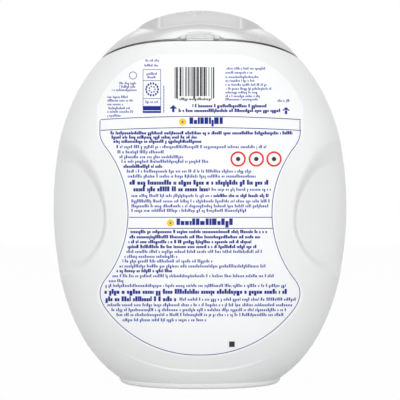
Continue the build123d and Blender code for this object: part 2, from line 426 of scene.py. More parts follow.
@dataclass(frozen=True)
class MouldedPlastic:
    """Satin white plastic with faint mottling, mould texture and, on a blown piece, a seam."""

    name: str
    colour: Colour
    shade: Colour
    roughness: float
    grain: float = 900.0
    grain_depth: float = 0.000012
    ripple_depth: float = 0.00006
    gloss: float = 0.45
    seam_half_width: float = 0.0
    seam_height: float = 0.00012
    mottle: float = 22.0
    wear: float = 60.0
    wear_spread: float = 0.14
    ripple: float = 38.0
    ripple_stretch: Colour = (1.0, 1.0, 0.35)
    scatter: float = 0.06
    scatter_reach: float = 0.004

    def make(self) -> bpy.types.Material:
        """Builds the material.

        Returns:
            The material.
        """
        shop = Workshop(self.name)
        mottle = shop.noise(self.mottle, 4.0)
        shop.feed("Base Color", shop.blend((mottle - 0.35) * 2.2, self.colour, self.shade))
        wear = shop.noise(self.wear, 5.0)
        shop.feed("Roughness", wear * self.wear_spread + (self.roughness - self.wear_spread / 2))
        ripple = shop.noise(self.ripple, 2.0, self.ripple_stretch)
        height = shop.noise(self.grain, 2.0) * self.grain_depth + ripple * self.ripple_depth
        if self.seam_half_width:
            seam = (1.0 - shop.axis("Y").magnitude() / self.seam_half_width).floor_at(0.0)
            height = height + seam * self.seam_height
        # The heights are in metres, and the bump counts them in millimetres.
        shop.relief(height * 1000.0, 0.001)
        shop.set(IOR=1.5, Specular_IOR_Level=self.gloss, Subsurface_Weight=self.scatter,
                 Subsurface_Radius=(self.scatter_reach,) * 3, Subsurface_Scale=1.0)
        return shop.material


@dataclass(frozen=True)
class PrintedFilm:
    """White label film, moulded into the wall, smoother than the plastic round it."""

    name: str
    colour: Colour = (0.905, 0.908, 0.915)
    shade: Colour = (0.885, 0.89, 0.90)
    roughness: float = 0.42
    mottle: float = 30.0
    wear: float = 120.0
    wear_spread: float = 0.12
    grain: float = 1400.0
    grain_depth: float = 0.000006
    gloss: float = 0.12

    def make(self) -> bpy.types.Material:
        """Builds the material.

        Returns:
            The material.
        """
        shop = Workshop(self.name)
        shop.feed("Base Color", shop.blend((shop.noise(self.mottle) - 0.3) * 2.0, self.colour, self.shade))
        wear = shop.noise(self.wear, 4.0)
        shop.feed("Roughness", wear * self.wear_spread + (self.roughness - self.wear_spread / 2))
        shop.relief(shop.noise(self.grain, 2.0), self.grain_depth)
        shop.set(IOR=1.48, Specular_IOR_Level=self.gloss)
        return shop.material


@dataclass(frozen=True)
class Ink:
    """A film of printing ink, a little uneven as a flexo press leaves it."""

    name: str
    colour: Colour
    roughness: float = 0.45
    paler_share: float = 0.93
    paler_white: float = 0.025
    mottle: float = 1600.0
    wear: float = 700.0
    wear_spread: float = 0.1
    grain: float = 2400.0
    grain_depth: float = 0.000004
    gloss: float = 0.1

    def make(self) -> bpy.types.Material:
        """Builds the material.

        Returns:
            The material.
        """
        shop = Workshop(self.name)
        paler = tuple(self.paler_share * part + self.paler_white for part in self.colour)
        mottle = shop.noise(self.mottle, 2.0)
        shop.feed("Base Color", shop.blend((mottle - 0.35) * 2.5, self.colour, paler))
        wear = shop.noise(self.wear)
        shop.feed("Roughness", wear * self.wear_spread + (self.roughness - self.wear_spread / 2))
        shop.relief(shop.noise(self.grain, 1.0), self.grain_depth)
        shop.set(IOR=1.48, Specular_IOR_Level=self.gloss)
        return shop.material


@dataclass(frozen=True)
class Finishes:
    """Every finish of the tub."""

    tub: MouldedPlastic = MouldedPlastic("blown_white", (0.83, 0.833, 0.838), (0.81, 0.814, 0.82), 0.38,
                                         seam_half_width=0.00045)
    lid: MouldedPlastic = MouldedPlastic("moulded_white", (0.56, 0.56, 0.558), (0.545, 0.545, 0.545), 0.25,
                                         ripple_depth=0.00002, gloss=1.0)
    film: PrintedFilm = PrintedFilm("label_film")
    navy: Ink = Ink("ink_navy", (0.006, 0.020, 0.25))
    blue: Ink = Ink("ink_blue", (0.030, 0.060, 0.36))
    red: Ink = Ink("ink_red", (0.76, 0.015, 0.015))
    yellow: Ink = Ink("ink_yellow", (0.85, 0.60, 0.04))
    black: Ink = Ink("ink_black", (0.03, 0.03, 0.035))


@dataclass(frozen=True)
class Parting:
    """The arched line where the tub ends and the lid begins."""

    height: float = 0.2325
    drop: float = 0.0095
    reach: float = 0.0715
    power: float = 3.4
    gap: float = 0.0013

    def level(self, x: Array, lift: float = 0.0) -> Array:
        """Height of the line at x: its top less a drop that grows with a power of x, plus lift."""
        return self.height - self.drop * (np.abs(x) / self.reach) ** self.power + lift


@dataclass(frozen=True)
class TubForm:
    """The outside of the blown wall as a function of direction and height."""

    belly_half_width: float = 0.1022
    belly_half_depth: float = 0.0752
    belly_height: float = 0.120
    belly_to_foot: float = 0.128
    belly_to_crown: float = 0.1379
    foot_curve: float = 1.9
    foot_root: float = 1 / 3
    crown_curve: float = 2.27
    section_power: float = 2.5
    end_section_power: float = 2.2
    squaring_from: float = 0.55
    squaring_over: float = 0.4
    lower_depth_power: float = 0.88
    upper_depth_power: float = 0.63
    scoop_centre: tuple[float, float] = (0.102, 0.1135)
    scoop_half_width: float = 0.0412
    scoop_rise: float = 0.0568
    scoop_fall: float = 0.0388
    scoop_depth: float = 0.0098
    scoop_bowl: float = 0.52
    scoop_wall_share: float = 0.13
    scoop_roof_growth: float = 1.8
    scoop_sill_growth: float = 0.6
    scoop_full_depth_y: float = 0.060
    edge_height: float = 0.013
    edge_rise: float = 0.0183
    edge_reach: float = 0.062
    edge_curve: float = 2.4
    edge_full_share: float = 0.1
    edge_relief: float = 0.0009
    edge_width: float = 0.0015
    edge_fade: float = 0.045

    def width_ratio(self, z: Array) -> Array:
        """Half width at z as a share of the belly's: two rounded powers that meet at the belly.

        Args:
            z: Heights.

        Returns:
            Shares of the belly's half width.
        """
        drop = np.clip((self.belly_height - z) / self.belly_to_foot, 0.0, 0.999)
        climb = np.clip((z - self.belly_height) / self.belly_to_crown, 0.0, 0.999)
        return np.where(z < self.belly_height, (1 - drop**self.foot_curve) ** self.foot_root,
                        np.sqrt(1 - climb**self.crown_curve))

    def section(self, z: Array) -> tuple[Array, Array, Array]:
        """Half width, half depth and squareness of the wall at z.

        Args:
            z: Heights.

        Returns:
            Half widths, half depths and superellipse powers.
        """
        share = self.width_ratio(z)
        depth_power = np.where(z > self.belly_height, self.upper_depth_power, self.lower_depth_power)
        spread = self.section_power - self.end_section_power
        squareness = smooth_step((share - self.squaring_from) / self.squaring_over)
        power = self.end_section_power + spread * squareness
        return self.belly_half_width * share, self.belly_half_depth * share**depth_power, power

    def edge_level(self, x: Array) -> Array:
        """Height of the label panel's lower edge at x, which rises to both sides."""
        return self.edge_height + self.edge_rise * (np.abs(x) / self.edge_reach) ** self.edge_curve

    def relief(self, x: Array, y: Array, z: Array) -> Array:
        """How far the wall stands out, below zero: the panel sunk above its edge, and the thumb scoop.

        Args:
            x: Positions across.
            y: Positions in depth.
            z: Heights.

        Returns:
            Distances along the wall's normal, none above zero.
        """
        above = z - self.edge_level(x)
        panel = smooth_step(above / self.edge_width) * (1 - smooth_step(above / self.edge_fade))
        panel = panel * (1 - smooth_step(np.abs(x) / self.edge_reach - self.edge_full_share))
        climb = z - self.scoop_centre[1]
        climb = climb / np.where(climb > 0, self.scoop_rise, self.scoop_fall)
        ellipse = np.hypot((np.abs(x) - self.scoop_centre[0]) / self.scoop_half_width, climb)
        growth = 1 + self.scoop_roof_growth * smooth_step(climb)
        growth = growth + self.scoop_sill_growth * smooth_step(-climb)
        step = smooth_step((1 - ellipse) / (self.scoop_wall_share * growth))
        bowl = 1 - np.clip(ellipse, 0.0, 1.0) ** 2
        scoop = (1 - self.scoop_bowl) * step + self.scoop_bowl * bowl
        scoop = scoop * smooth_step(np.abs(y) / self.scoop_full_depth_y)
        return -self.edge_relief * panel - self.scoop_depth * scoop

    def outward(self, x: Array, y: Array, section: tuple[Array, Array, Array]) -> tuple[Array, Array]:
        """Unit normal of a superellipse in its plane: the gradient of its own formula.

        Args:
            x: Positions across.
            y: Positions in depth.
            section: Half width, half depth and power, as section gives them.

        Returns:
            The two parts of the normal.
        """
        half_width, half_depth, power = section
        along = np.sign(x) * np.abs(x / half_width) ** (power - 1) / half_width
        across = np.sign(y) * np.abs(y / half_depth) ** (power - 1) / half_depth
        length = np.hypot(along, across)
        return along / length, across / length

    def wall(self, turn: Array, z: Array, lift: float = 0.0) -> Array:
        """Points of the wall.

        Args:
            turn: Directions round the tub.
            z: Heights, of a shape that fits turn.
            lift: Distance off the wall, along its normal in plan.

        Returns:
            Points, with a last axis for the coordinates.
        """
        section = self.section(z)
        radius = oval_radius(turn, *section)
        x, y = radius * np.cos(turn), radius * np.sin(turn)
        normal_x, normal_y = self.outward(x, y, section)
        off = self.relief(x, y, z) + lift
        return np.stack([x + normal_x * off, y + normal_y * off, np.broadcast_to(z, x.shape)], -1)

    def front(self, x: Array, z: Array, lift: float = 0.0) -> Array:
        """Depth of the label side at x and z.

        Args:
            x: Positions across.
            z: Heights.
            lift: Distance off the wall.

        Returns:
            The y at which a point lifted off the wall stands at x and z, found by stepping its foot.
        """
        section = self.section(z)
        half_width, half_depth, power = section
        foot = np.array(np.broadcast_to(x, np.broadcast(x, z).shape), float)
        for _ in range(14):
            inside = np.clip(1 - np.abs(foot / half_width) ** power, 1e-6, 1.0)
            y = -half_depth * inside ** (1 / power)
            normal_x, normal_y = self.outward(foot, y, section)
            off = self.relief(foot, y, z) + lift
            foot = foot + 0.9 * (x - foot - normal_x * off)
        return y + normal_y * off


@dataclass
class Tub:
    """The blown body: foot ring, pushed-up base, belly with four scoops, shoulder and neck."""

    form: TubForm
    parting: Parting
    around: int = 400
    wall: float = 0.0013
    foot_height: float = 0.0042
    foot_step: float = 0.0007
    foot_round: float = 0.0034
    ring_width: float = 0.009
    push_up: float = 0.0024
    edge_round: float = 0.0011
    neck_half_width: float = 0.0515
    neck_half_depth: float = 0.042
    neck_wall: float = 0.0018
    neck_height: float = 0.005
    bead: float = 0.0006
    bead_low: float = 0.0024
    bead_high: float = 0.0035
    step_rise: float = 0.0007
    edge_highest: float = 0.040
    edge_before: float = 0.002
    edge_after: float = 0.005
    panel_end: float = 0.066
    scoop_end: float = 0.177
    inner_scoop_end: float = 0.172
    inner_start: float = 0.0006
    inner_low: float = 0.008

    def turns(self) -> Array:
        """Directions round the tub, closer together where the scoops have their walls."""
        even = np.linspace(0, 2 * np.pi, self.around, endpoint=False)
        return even + 0.1 * np.sin(4 * even)

    def foot_ring(self, inset: float, z: float) -> Array:
        """A ring of the foot at z, moved in by inset.

        Args:
            inset: Distance in from the side of the foot.
            z: Height of the ring.

        Returns:
            The ring's points.
        """
        share = float(self.form.width_ratio(np.array(self.foot_height)))
        half_width = self.form.belly_half_width * share - self.foot_step - inset
        half_depth = self.form.belly_half_depth * share**self.form.lower_depth_power - self.foot_step - inset
        turn = self.turns()
        radius = oval_radius(turn, half_width, half_depth, self.form.end_section_power)
        return polar(turn, radius, z)

    def foot_rings(self, profile: list[tuple[float, float]]) -> Array:
        """Rings of the foot along a profile of insets and heights."""
        return np.stack([self.foot_ring(inset, z) for inset, z in profile])

    def floor_rings(self, inset: float, z: float, shares: list[float]) -> Array:
        """Flat rings from the middle of the base out to an inset ring."""
        outer = self.foot_ring(inset, z)
        return np.stack([outer * [share, share, 1.0] for share in shares])

    def neck_oval(self, turn: Array, offset: float) -> Array:
        """Distances out to the neck's oval, moved out by offset."""
        return oval_radius(turn, self.neck_half_width + offset, self.neck_half_depth + offset,
                           self.form.end_section_power)

    def neck_rings(self, profile: list[tuple[float, float]]) -> Array:
        """Rings round the neck along a profile of offsets and lifts off the parting surface.

        Args:
            profile: Pairs of offset outwards and lift.

        Returns:
            The rings, in that order.
        """
        rings = []
        turn = self.turns()
        for offset, lift in profile:
            radius = self.neck_oval(turn, offset)
            rings.append(polar(turn, radius, self.parting.level(radius * np.cos(turn), lift)))
        return np.stack(rings)

    def top_level(self, lift: float) -> Array:
        """Height at which the wall meets the parting surface, in each direction.

        Args:
            lift: Distance of the surface off the wall.

        Returns:
            Heights, found by stepping.
        """
        turn = self.turns()
        z = np.full_like(turn, self.parting.height)
        for _ in range(12):
            z = self.parting.level(self.form.wall(turn, z, lift)[:, 0])
        return z

    def wall_rows(self, heights: Array, lift: float) -> Array:
        """Rings of the wall at heights that may differ round it."""
        turn = np.broadcast_to(self.turns(), heights.shape)
        return self.form.wall(turn, heights, lift)

    def outer_heights(self) -> Array:
        """Heights of the outer rings: they follow the panel's edge, the scoops and the arch.

        Returns:
            Heights as an array of ring and direction.
        """
        turn = self.turns()
        edge = np.full_like(turn, self.form.edge_height)
        for _ in range(6):
            edge = np.minimum(self.form.edge_level(self.form.wall(turn, edge)[:, 0]), self.edge_highest)
        base = np.full_like(turn, self.foot_height + self.step_rise)
        under_edge, over_edge = edge - self.edge_before, edge + self.edge_after
        panel_end = np.full_like(turn, self.panel_end)
        scoop_end = np.full_like(turn, self.scoop_end)
        top = self.top_level(0.0) - self.edge_round
        stretches = [(base, under_edge, 6), (under_edge, over_edge, 13), (over_edge, panel_end, 12),
                     (panel_end, scoop_end, 76), (scoop_end, top, 18)]
        return np.stack(stretched(stretches) + [top])

    def shelf(self, start: Array, end: Array, lift: float, count: int) -> Array:
        """Rings on the parting surface between two rings, without the two.

        Args:
            start: Ring that it leaves.
            end: Ring that it reaches.
            lift: Distance over the parting surface.
            count: Number of rings between.

        Returns:
            The rings between, in that order.
        """
        shares = np.linspace(0, 1, count + 2)[1:-1, None]
        x = start[:, 0] + (end[:, 0] - start[:, 0]) * shares
        y = start[:, 1] + (end[:, 1] - start[:, 1]) * shares
        return np.stack([x, y, self.parting.level(x, lift)], -1)

    def inner_heights(self, top: Array) -> Array:
        """Heights of the rings on the wall's inside, from under the shoulder down to the foot.

        Args:
            top: Heights of the uppermost ring.

        Returns:
            Heights as an array of ring and direction.
        """
        end = np.full_like(top, self.inner_scoop_end)
        start = top - self.inner_start
        drop = [start + (end - top + self.inner_start) * share for share in (0.0, 0.33, 0.66)]
        down = [np.full_like(top, z) for z in np.linspace(self.inner_scoop_end, self.inner_low, 32)]
        return np.stack(drop + down)

    def foot_profile(self) -> list[tuple[float, float]]:
        """The foot's outside: down from the pushed-up base, under the standing ring and up its side.

        Returns:
            Pairs of inset and height.
        """
        foot, ring, up = self.foot_height, self.ring_width, self.push_up
        arc = [(self.foot_round * (1 - math.sin(a)), self.foot_round * (1 - math.cos(a)))
               for a in np.linspace(0, math.pi / 2, 6)]
        under = [(ring + 0.0002, up - 0.0003), (ring, up - 0.0009), (ring, 0.0008),
                 (ring - 0.0004, 0.0002), (ring - 0.0012, 0.0), (0.005, 0.0)]
        return under + arc + [(0.0, foot - 0.0006), (-0.00015, foot - 0.0002)]

    def neck_profile(self) -> list[tuple[float, float]]:
        """The neck: up its outside over the snap bead, across its rim and down its inside.

        Returns:
            Pairs of offset and lift off the parting surface.
        """
        low, high, bead, top = self.bead_low, self.bead_high, self.bead, self.neck_height
        outside = [(0.0, 0.0003), (0.0, low - 0.0002), (bead * 0.7, low), (bead, low + 0.0003),
                   (bead, high - 0.0003), (bead * 0.7, high), (0.0, high + 0.0002)]
        rim = [(0.0, top - 0.0004), (-0.00015, top - 0.0001), (-0.0005, top), (-0.0013, top),
               (-0.00165, top - 0.0001), (-self.neck_wall, top - 0.0004)]
        return outside + rim + [(-self.neck_wall, 0.0), (-self.neck_wall, -self.wall)]

    def channel_profile(self) -> list[tuple[float, float]]:
        """The foot's inside: down the wall, along the standing ring's hollow and up to the base.

        Returns:
            Pairs of inset and height.
        """
        ring, up, wall = self.ring_width, self.push_up, self.wall
        return [(wall, self.foot_height + 0.0004), (wall, 0.0026), (0.0017, 0.0016), (0.0026, wall),
                (ring - wall - 0.0004, wall), (ring - wall, wall + 0.0005), (ring - wall, up + wall)]

    def skin(self) -> Skin:
        """The whole blown wall as one closed surface, from the base's middle up and down again.

        Returns:
            The closed surface.
        """
        ring, up = self.ring_width, self.push_up
        base = self.floor_rings(ring + 0.0008, up, [0.2, 0.5, 0.8, 0.96, 1.0])
        foot = self.foot_rings(self.foot_profile())
        heights = self.outer_heights()
        wall = self.wall_rows(heights, 0.0)
        kink = self.wall_rows(heights[:1] - 0.0004, -0.00025)
        top = self.top_level(0.0)
        rim = np.concatenate([self.wall_rows(top[None] - self.edge_round * (1 - math.sin(a)),
                                             -self.edge_round * (1 - math.cos(a)))
                              for a in np.linspace(0, math.pi / 2, 6)[1:]])
        neck_low = self.neck_rings([(0.0, 0.0)])
        shoulder = self.shelf(rim[-1], neck_low[0], 0.0, 8)
        neck = self.neck_rings(self.neck_profile())
        inner_top = self.top_level(-self.wall) - self.wall
        inner_rim = self.wall_rows(inner_top[None], -self.wall - 0.0004)
        under = self.shelf(neck[-1], inner_rim[0], -self.wall, 4)
        inner = self.wall_rows(self.inner_heights(inner_top), -self.wall)
        channel = self.foot_rings(self.channel_profile())
        floor = self.floor_rings(ring - self.wall + 0.0003, up + self.wall, [1.0, 0.8, 0.5, 0.2])
        rows = np.concatenate([base, foot, kink, wall, rim, shoulder, neck_low, neck, under,
                               inner_rim, inner, channel, floor])
        return Skin.turned(rows, np.array([0, 0, up]), np.array([0, 0, up + self.wall]))

    def build(self, finishes: Finishes) -> bpy.types.Object:
        """Makes and dresses the body.

        Args:
            finishes: Every finish of the tub.

        Returns:
            The body's object.
        """
        obj = self.skin().to_object("tub_shell")
        obj.data.materials.append(finishes.tub.make())
        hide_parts("tub_body")
        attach(obj, "tub")
        return obj


@dataclass(frozen=True)
class LidForm:
    """The outside and the inside of the lid: a dome cut by a steep skirt, under a crowned pad."""

    parting: Parting
    dome_half_width: float = 0.0756
    dome_half_depth: float = 0.070
    dome_rise: float = 0.0503
    dome_centre: float = 0.20475
    skirt_half_width: float = 0.0725
    skirt_half_depth: float = 0.0627
    skirt_datum: float = 0.223
    skirt_side_slope: float = 0.90
    skirt_back_slope: float = 0.808
    skirt_power: float = 2.1
    skirt_inset_share: float = 1.25
    skirt_step_slope: float = 0.86
    crest_round: float = 0.0012
    search_from: float = 0.030
    pad_half_width: float = 0.044
    pad_half_depth: float = 0.0410
    pad_corner_x: float = 0.027
    pad_face_bulge: float = 0.001
    pad_corner_round: float = 0.0020
    crown_half_width: float = 0.074
    crown_half_depth: float = 0.130
    crown_rise: float = 0.060
    crown_top: float = 0.2573

    def dome(self, x: Array, y: Array, inset: float) -> Array:
        """Height of the ellipsoid dome at x and y."""
        inside = 1 - (x / (self.dome_half_width - inset)) ** 2 - (y / (self.dome_half_depth - inset)) ** 2
        return self.dome_centre + (self.dome_rise - inset) * np.sqrt(np.clip(inside, 0.0, None))

    def crown(self, x: Array, y: Array, inset: float) -> Array:
        """Height of the pad's crowned top, an ellipsoid's cap."""
        inside = 1 - (x / (self.crown_half_width - inset)) ** 2 - (y / (self.crown_half_depth - inset)) ** 2
        return self.crown_top - self.crown_rise + (self.crown_rise - inset) * np.sqrt(inside)

    def skirt_radius(self, turn: Array, z: Array, inset: float) -> Array:
        """Distance out to the skirt at z, an oval that narrows as it climbs."""
        climb = z - self.skirt_datum
        return oval_radius(turn, self.skirt_half_width - self.skirt_side_slope * climb - inset,
                           self.skirt_half_depth - self.skirt_back_slope * climb - inset, self.skirt_power)

    def skirt(self, turn: Array, radius: Array, inset: float) -> Array:
        """Height of the skirt at a distance out, found by stepping along its slope.

        Args:
            turn: Directions in radians, from +X towards +Y.
            radius: Distances out from the middle.
            inset: How far the surface lies inside the outside of the lid.

        Returns:
            Heights.
        """
        z = np.full(np.broadcast(turn, radius).shape, self.skirt_datum)
        for _ in range(9):
            z = z + (self.skirt_radius(turn, z, inset) - radius) / self.skirt_step_slope
        return z

    def surface(self, turn: Array, radius: Array, inset: float) -> Array:
        """Points of the dome and skirt, the lower of the two with a rounded crest.

        Args:
            turn: Directions in radians, from +X towards +Y.
            radius: Distances out from the middle.
            inset: How far the surface lies inside the outside of the lid.

        Returns:
            Points, with a last axis for the coordinates.
        """
        x, y = radius * np.cos(turn), radius * np.sin(turn)
        skirt = self.skirt(turn, radius, inset * self.skirt_inset_share)
        height = smooth_min(self.dome(x, y, inset), skirt, self.crest_round)
        return np.stack([x, y, height], -1)

    def crest(self, turn: Array, inset: float) -> Array:
        """Distance out to the crest where dome and skirt meet, by halving.

        Args:
            turn: Directions in radians, from +X towards +Y.
            inset: How far the surface lies inside the outside of the lid.

        Returns:
            Distances out from the middle.
        """
        def above(radius: Array) -> Array:
            """Height of the skirt over the dome."""
            dome = self.dome(radius * np.cos(turn), radius * np.sin(turn), inset)
            return self.skirt(turn, radius, inset * self.skirt_inset_share) - dome
        return self.halve(turn, above, inset)

    def edge(self, turn: Array, inset: float) -> Array:
        """Distance out to the lid's lower edge, just over the parting line, by halving.

        Args:
            turn: Directions in radians, from +X towards +Y.
            inset: How far the surface lies inside the outside of the lid.

        Returns:
            Distances out from the middle.
        """
        def above(radius: Array) -> Array:
            """Height of the lid over its lower edge."""
            level = self.parting.level(radius * np.cos(turn), self.parting.gap)
            return self.surface(turn, radius, inset)[..., 2] - level
        return self.halve(turn, above, inset)

    def halve(self, turn: Array, above: Callable[[Array], Array], inset: float) -> Array:
        """Where a height difference that falls outwards passes zero, between the pad and the skirt.

        Args:
            turn: Directions in radians, from +X towards +Y.
            above: Height difference at distances out.
            inset: How far the surface lies inside the outside of the lid.

        Returns:
            Distances out from the middle.
        """
        low = np.full_like(turn, self.search_from)
        datum = np.full_like(turn, self.skirt_datum)
        high = self.skirt_radius(turn, datum, inset * self.skirt_inset_share)
        for _ in range(34):
            middle = 0.5 * (low + high)
            inside = above(middle) > 0
            low, high = np.where(inside, middle, low), np.where(inside, high, middle)
        return 0.5 * (low + high)

    def pad_radius(self, turn: Array, inset: float) -> Array:
        """Distance out to the pad's wall: four arcs with rounded corners between them.

        Args:
            turn: Directions in radians, from +X towards +Y.
            inset: How far the surface lies inside the outside of the lid.

        Returns:
            Distances out from the middle.
        """
        corner_y = self.pad_half_depth - self.pad_face_bulge
        face_radius = (self.pad_corner_x**2 + self.pad_face_bulge**2) / (2 * self.pad_face_bulge)
        bulge = self.pad_half_width - self.pad_corner_x
        end_radius = (corner_y**2 + bulge**2) / (2 * bulge)
        reach = []
        for x, y, radius in ((0, face_radius - self.pad_half_depth, face_radius),
                             (0, self.pad_half_depth - face_radius, face_radius),
                             (self.pad_half_width - end_radius, 0, end_radius),
                             (end_radius - self.pad_half_width, 0, end_radius)):
            along = np.cos(turn) * x + np.sin(turn) * y
            reach.append(along + np.sqrt(along**2 - x * x - y * y + (radius - inset) ** 2))
        faces = smooth_min(reach[0], reach[1], 1e-5)
        ends = smooth_min(reach[2], reach[3], 1e-5)
        return smooth_min(faces, ends, self.pad_corner_round)


@dataclass
class Lid:
    """The moulded lid with its hinge recess, ears, pins, seal ring and tab windows."""

    form: LidForm
    tub: Tub
    around: int = 440
    wall: float = 0.0018
    rim_round: float = 0.0012
    draft: float = 0.0004
    ledge: float = 0.0009
    recess_width: float = 0.038
    recess_height: float = 0.0055
    recess_depth: float = 0.0002
    hinge_y: float = -0.0533
    hinge_height: float = 0.2349
    hinge_radius: float = 0.0015
    pin_radius: float = 0.0008
    pin_length: float = 0.004
    knuckle_width: float = 0.018
    side_clearance: float = 0.00035
    ear_width: float = 0.0036
    web_reach: float = 0.0042
    slot_top: float = 0.0019
    seal_wall: float = 0.0012
    seal_clearance: float = 0.0009
    seal_low: float = 0.0053
    tab_centre: tuple[float, float] = (0.034, 0.0475)
    tab_angle: float = 28.0
    tab_width: float = 0.021
    tab_top: float = 0.2362
    tab_clearance: float = 0.0004
    tab_corner: float = 0.0016
    window_drop: float = 0.004
    window_depths: tuple[float, float] = (-0.014, 0.008)
    inner_rim_round: float = 0.0006
    pad_foot_lift: float = 0.0007
    pad_groove: float = 0.0002
    inner_ledge: float = 0.0008
    crest_zone: float = 0.0022
    lip_round: float = 0.0003
    outside_y: float = -0.080
    recess_low: float = 0.2262
    backing_growth: float = 0.0014
    backing_lift: float = 0.0009
    slot_drop: float = 0.005
    slot_reach: float = 0.003
    ear_chamfer: float = 0.0002
    pin_chamfer: float = 0.00015
    web_share: float = 0.8
    seal_root_share: float = 0.6

    def turns(self) -> Array:
        """Directions round the lid, closer together at the pad's corners."""
        even = np.linspace(0, 2 * np.pi, self.around, endpoint=False)
        return even + 0.09 * np.sin(4 * even)

    def pad_rows(self, inset: float) -> Array:
        """Rings of the pad from its middle out over the rim and down to the dome.

        Args:
            inset: 0 for the outside, or the wall for the inside.

        Returns:
            The rings, in that order.
        """
        turn, form = self.turns(), self.form
        radius = form.pad_radius(turn, inset)
        rim = self.rim_round if inset == 0.0 else self.inner_rim_round
        inner = radius - rim
        rows = []
        for share in (0.08, 0.2, 0.35, 0.5, 0.65, 0.8, 0.92, 1.0):
            x, y = share * inner * np.cos(turn), share * inner * np.sin(turn)
            rows.append(np.stack([x, y, form.crown(x, y, inset)], -1))
        top = rows[-1][:, 2]
        for angle in np.linspace(0, math.pi / 2, 6)[1:]:
            out = inner + rim * math.sin(angle)
            rows.append(polar(turn, out, top - rim * (1 - math.cos(angle))))
        foot = radius + self.draft
        x, y = foot * np.cos(turn), foot * np.sin(turn)
        bottom = form.dome(x, y, inset) + (self.pad_foot_lift if inset == 0.0 else 0.0)
        for share in (0.3, 0.6, 0.85, 1.0):
            out = radius + self.draft * share
            z = (top - rim) * (1 - share) + bottom * share
            rows.append(polar(turn, out, z))
        return np.stack(rows)

    def dome_rows(self, inset: float, start: float) -> Array:
        """Rings of the dome and skirt from beside the pad out to the lower edge.

        Args:
            inset: 0 for the outside, or the wall for the inside.
            start: Distance from the pad's foot to the first ring.

        Returns:
            The rings, in that order.
        """
        turn, form = self.turns(), self.form
        begin = form.pad_radius(turn, inset) + self.draft + start
        edge = form.edge(turn, inset)
        half = self.crest_zone
        crest = np.minimum(form.crest(turn, inset), edge - 1.6 * half)
        stretches = [(begin, crest - half, 12), (crest - half, crest + half, 10), (crest + half, edge, 12)]
        rows = form.surface(turn, np.stack(stretched(stretches)), inset)
        level = self.tub.parting.level(edge * np.cos(turn), self.tub.parting.gap)
        last = polar(turn, edge, level + self.lip_round)
        return np.concatenate([rows[:-1], last[None]])

    def shell(self) -> Skin:
        """The lid's wall as one closed surface.

        Returns:
            The closed surface.
        """
        turn = self.turns()
        ledge = self.form.pad_radius(turn, 0.0) + self.draft + self.pad_groove
        step = self.form.surface(turn, ledge[None], 0.0) + [0, 0, self.pad_groove]
        outer = np.concatenate([self.pad_rows(0.0), step, self.dome_rows(0.0, self.ledge)])
        inner = np.concatenate([self.pad_rows(self.wall), self.dome_rows(self.wall, self.inner_ledge)])
        lips = []
        for ring, move in ((outer[-1], -self.lip_round), (inner[-1], self.lip_round)):
            length = np.hypot(ring[:, 0], ring[:, 1])[:, None]
            lip = ring.copy()
            lip[:, :2] *= (length + move) / length
            lip[:, 2] -= self.lip_round
            lips.append(lip)
        rows = np.concatenate([inner, [lips[1], lips[0]], outer[::-1]])
        top = self.form.crown_top
        return Skin.turned(rows, np.array([0, 0, top - self.wall]), np.array([0, 0, top]))

    def arch_top(self, x: Array, grow: float) -> Array:
        """Height of the hinge recess over x: the arc of a circle.

        Args:
            x: Positions across.
            grow: Growth of the outline.

        Returns:
            Heights.
        """
        radius = (self.recess_width**2 / 4 + self.recess_height**2) / (2 * self.recess_height)
        centre = self.tub.parting.height + self.recess_height - radius
        return centre + np.sqrt((radius + grow) ** 2 - x * x)

    def back_wall(self, x: Array, inset: float) -> Array:
        """Depth of the hinge recess's upright wall at x: the skirt's own curve at the arch's top.

        Args:
            x: Positions across.
            inset: Distance in from the skirt.

        Returns:
            Depths.
        """
        climb = self.arch_top(np.zeros_like(x), 0.0) - self.form.skirt_datum
        half_width = self.form.skirt_half_width - self.form.skirt_side_slope * climb - inset
        half_depth = self.form.skirt_half_depth - self.form.skirt_back_slope * climb - inset
        power = self.form.skirt_power
        return -half_depth * (1 - np.abs(x / half_width) ** power) ** (1 / power)

    def arch_slab(self, grow: float, low: float, near: float | None, far: float) -> Skin:
        """A slab with the recess's outline between two depths below the skirt.

        Args:
            grow: Growth of the outline.
            low: Height of its lower side.
            near: Inset of its outer face, or None for a face well outside the lid.
            far: Inset of its inner face.

        Returns:
            The closed slab.
        """
        radius = (self.recess_width**2 / 4 + self.recess_height**2) / (2 * self.recess_height) + grow
        centre = self.tub.parting.height + self.recess_height - radius + grow
        half = math.sqrt(radius**2 - (low - centre) ** 2) - 1e-5
        x = np.linspace(-half, half, 49)[:, None]
        share = np.linspace(0, 1, 13)[None, :]
        z = low + (self.arch_top(x, grow) - low) * share
        x = np.broadcast_to(x, z.shape)
        outside = np.full_like(z, self.outside_y) if near is None else self.back_wall(x, near)
        return Skin.slab(np.stack([x, outside, z], -1), np.stack([x, self.back_wall(x, far), z], -1))

    def box(self, low: tuple[float, float, float], high: tuple[float, float, float]) -> Skin:
        """A plain closed block between two corners.

        Args:
            low: Corner with the smallest coordinates.
            high: Corner with the largest.

        Returns:
            The closed block.
        """
        x, z = np.meshgrid([low[0], high[0]], [low[2], high[2]], indexing="ij")
        near, far = np.full_like(x, low[1]), np.full_like(x, high[1])
        return Skin.slab(np.stack([x, near, z], -1), np.stack([x, far, z], -1))

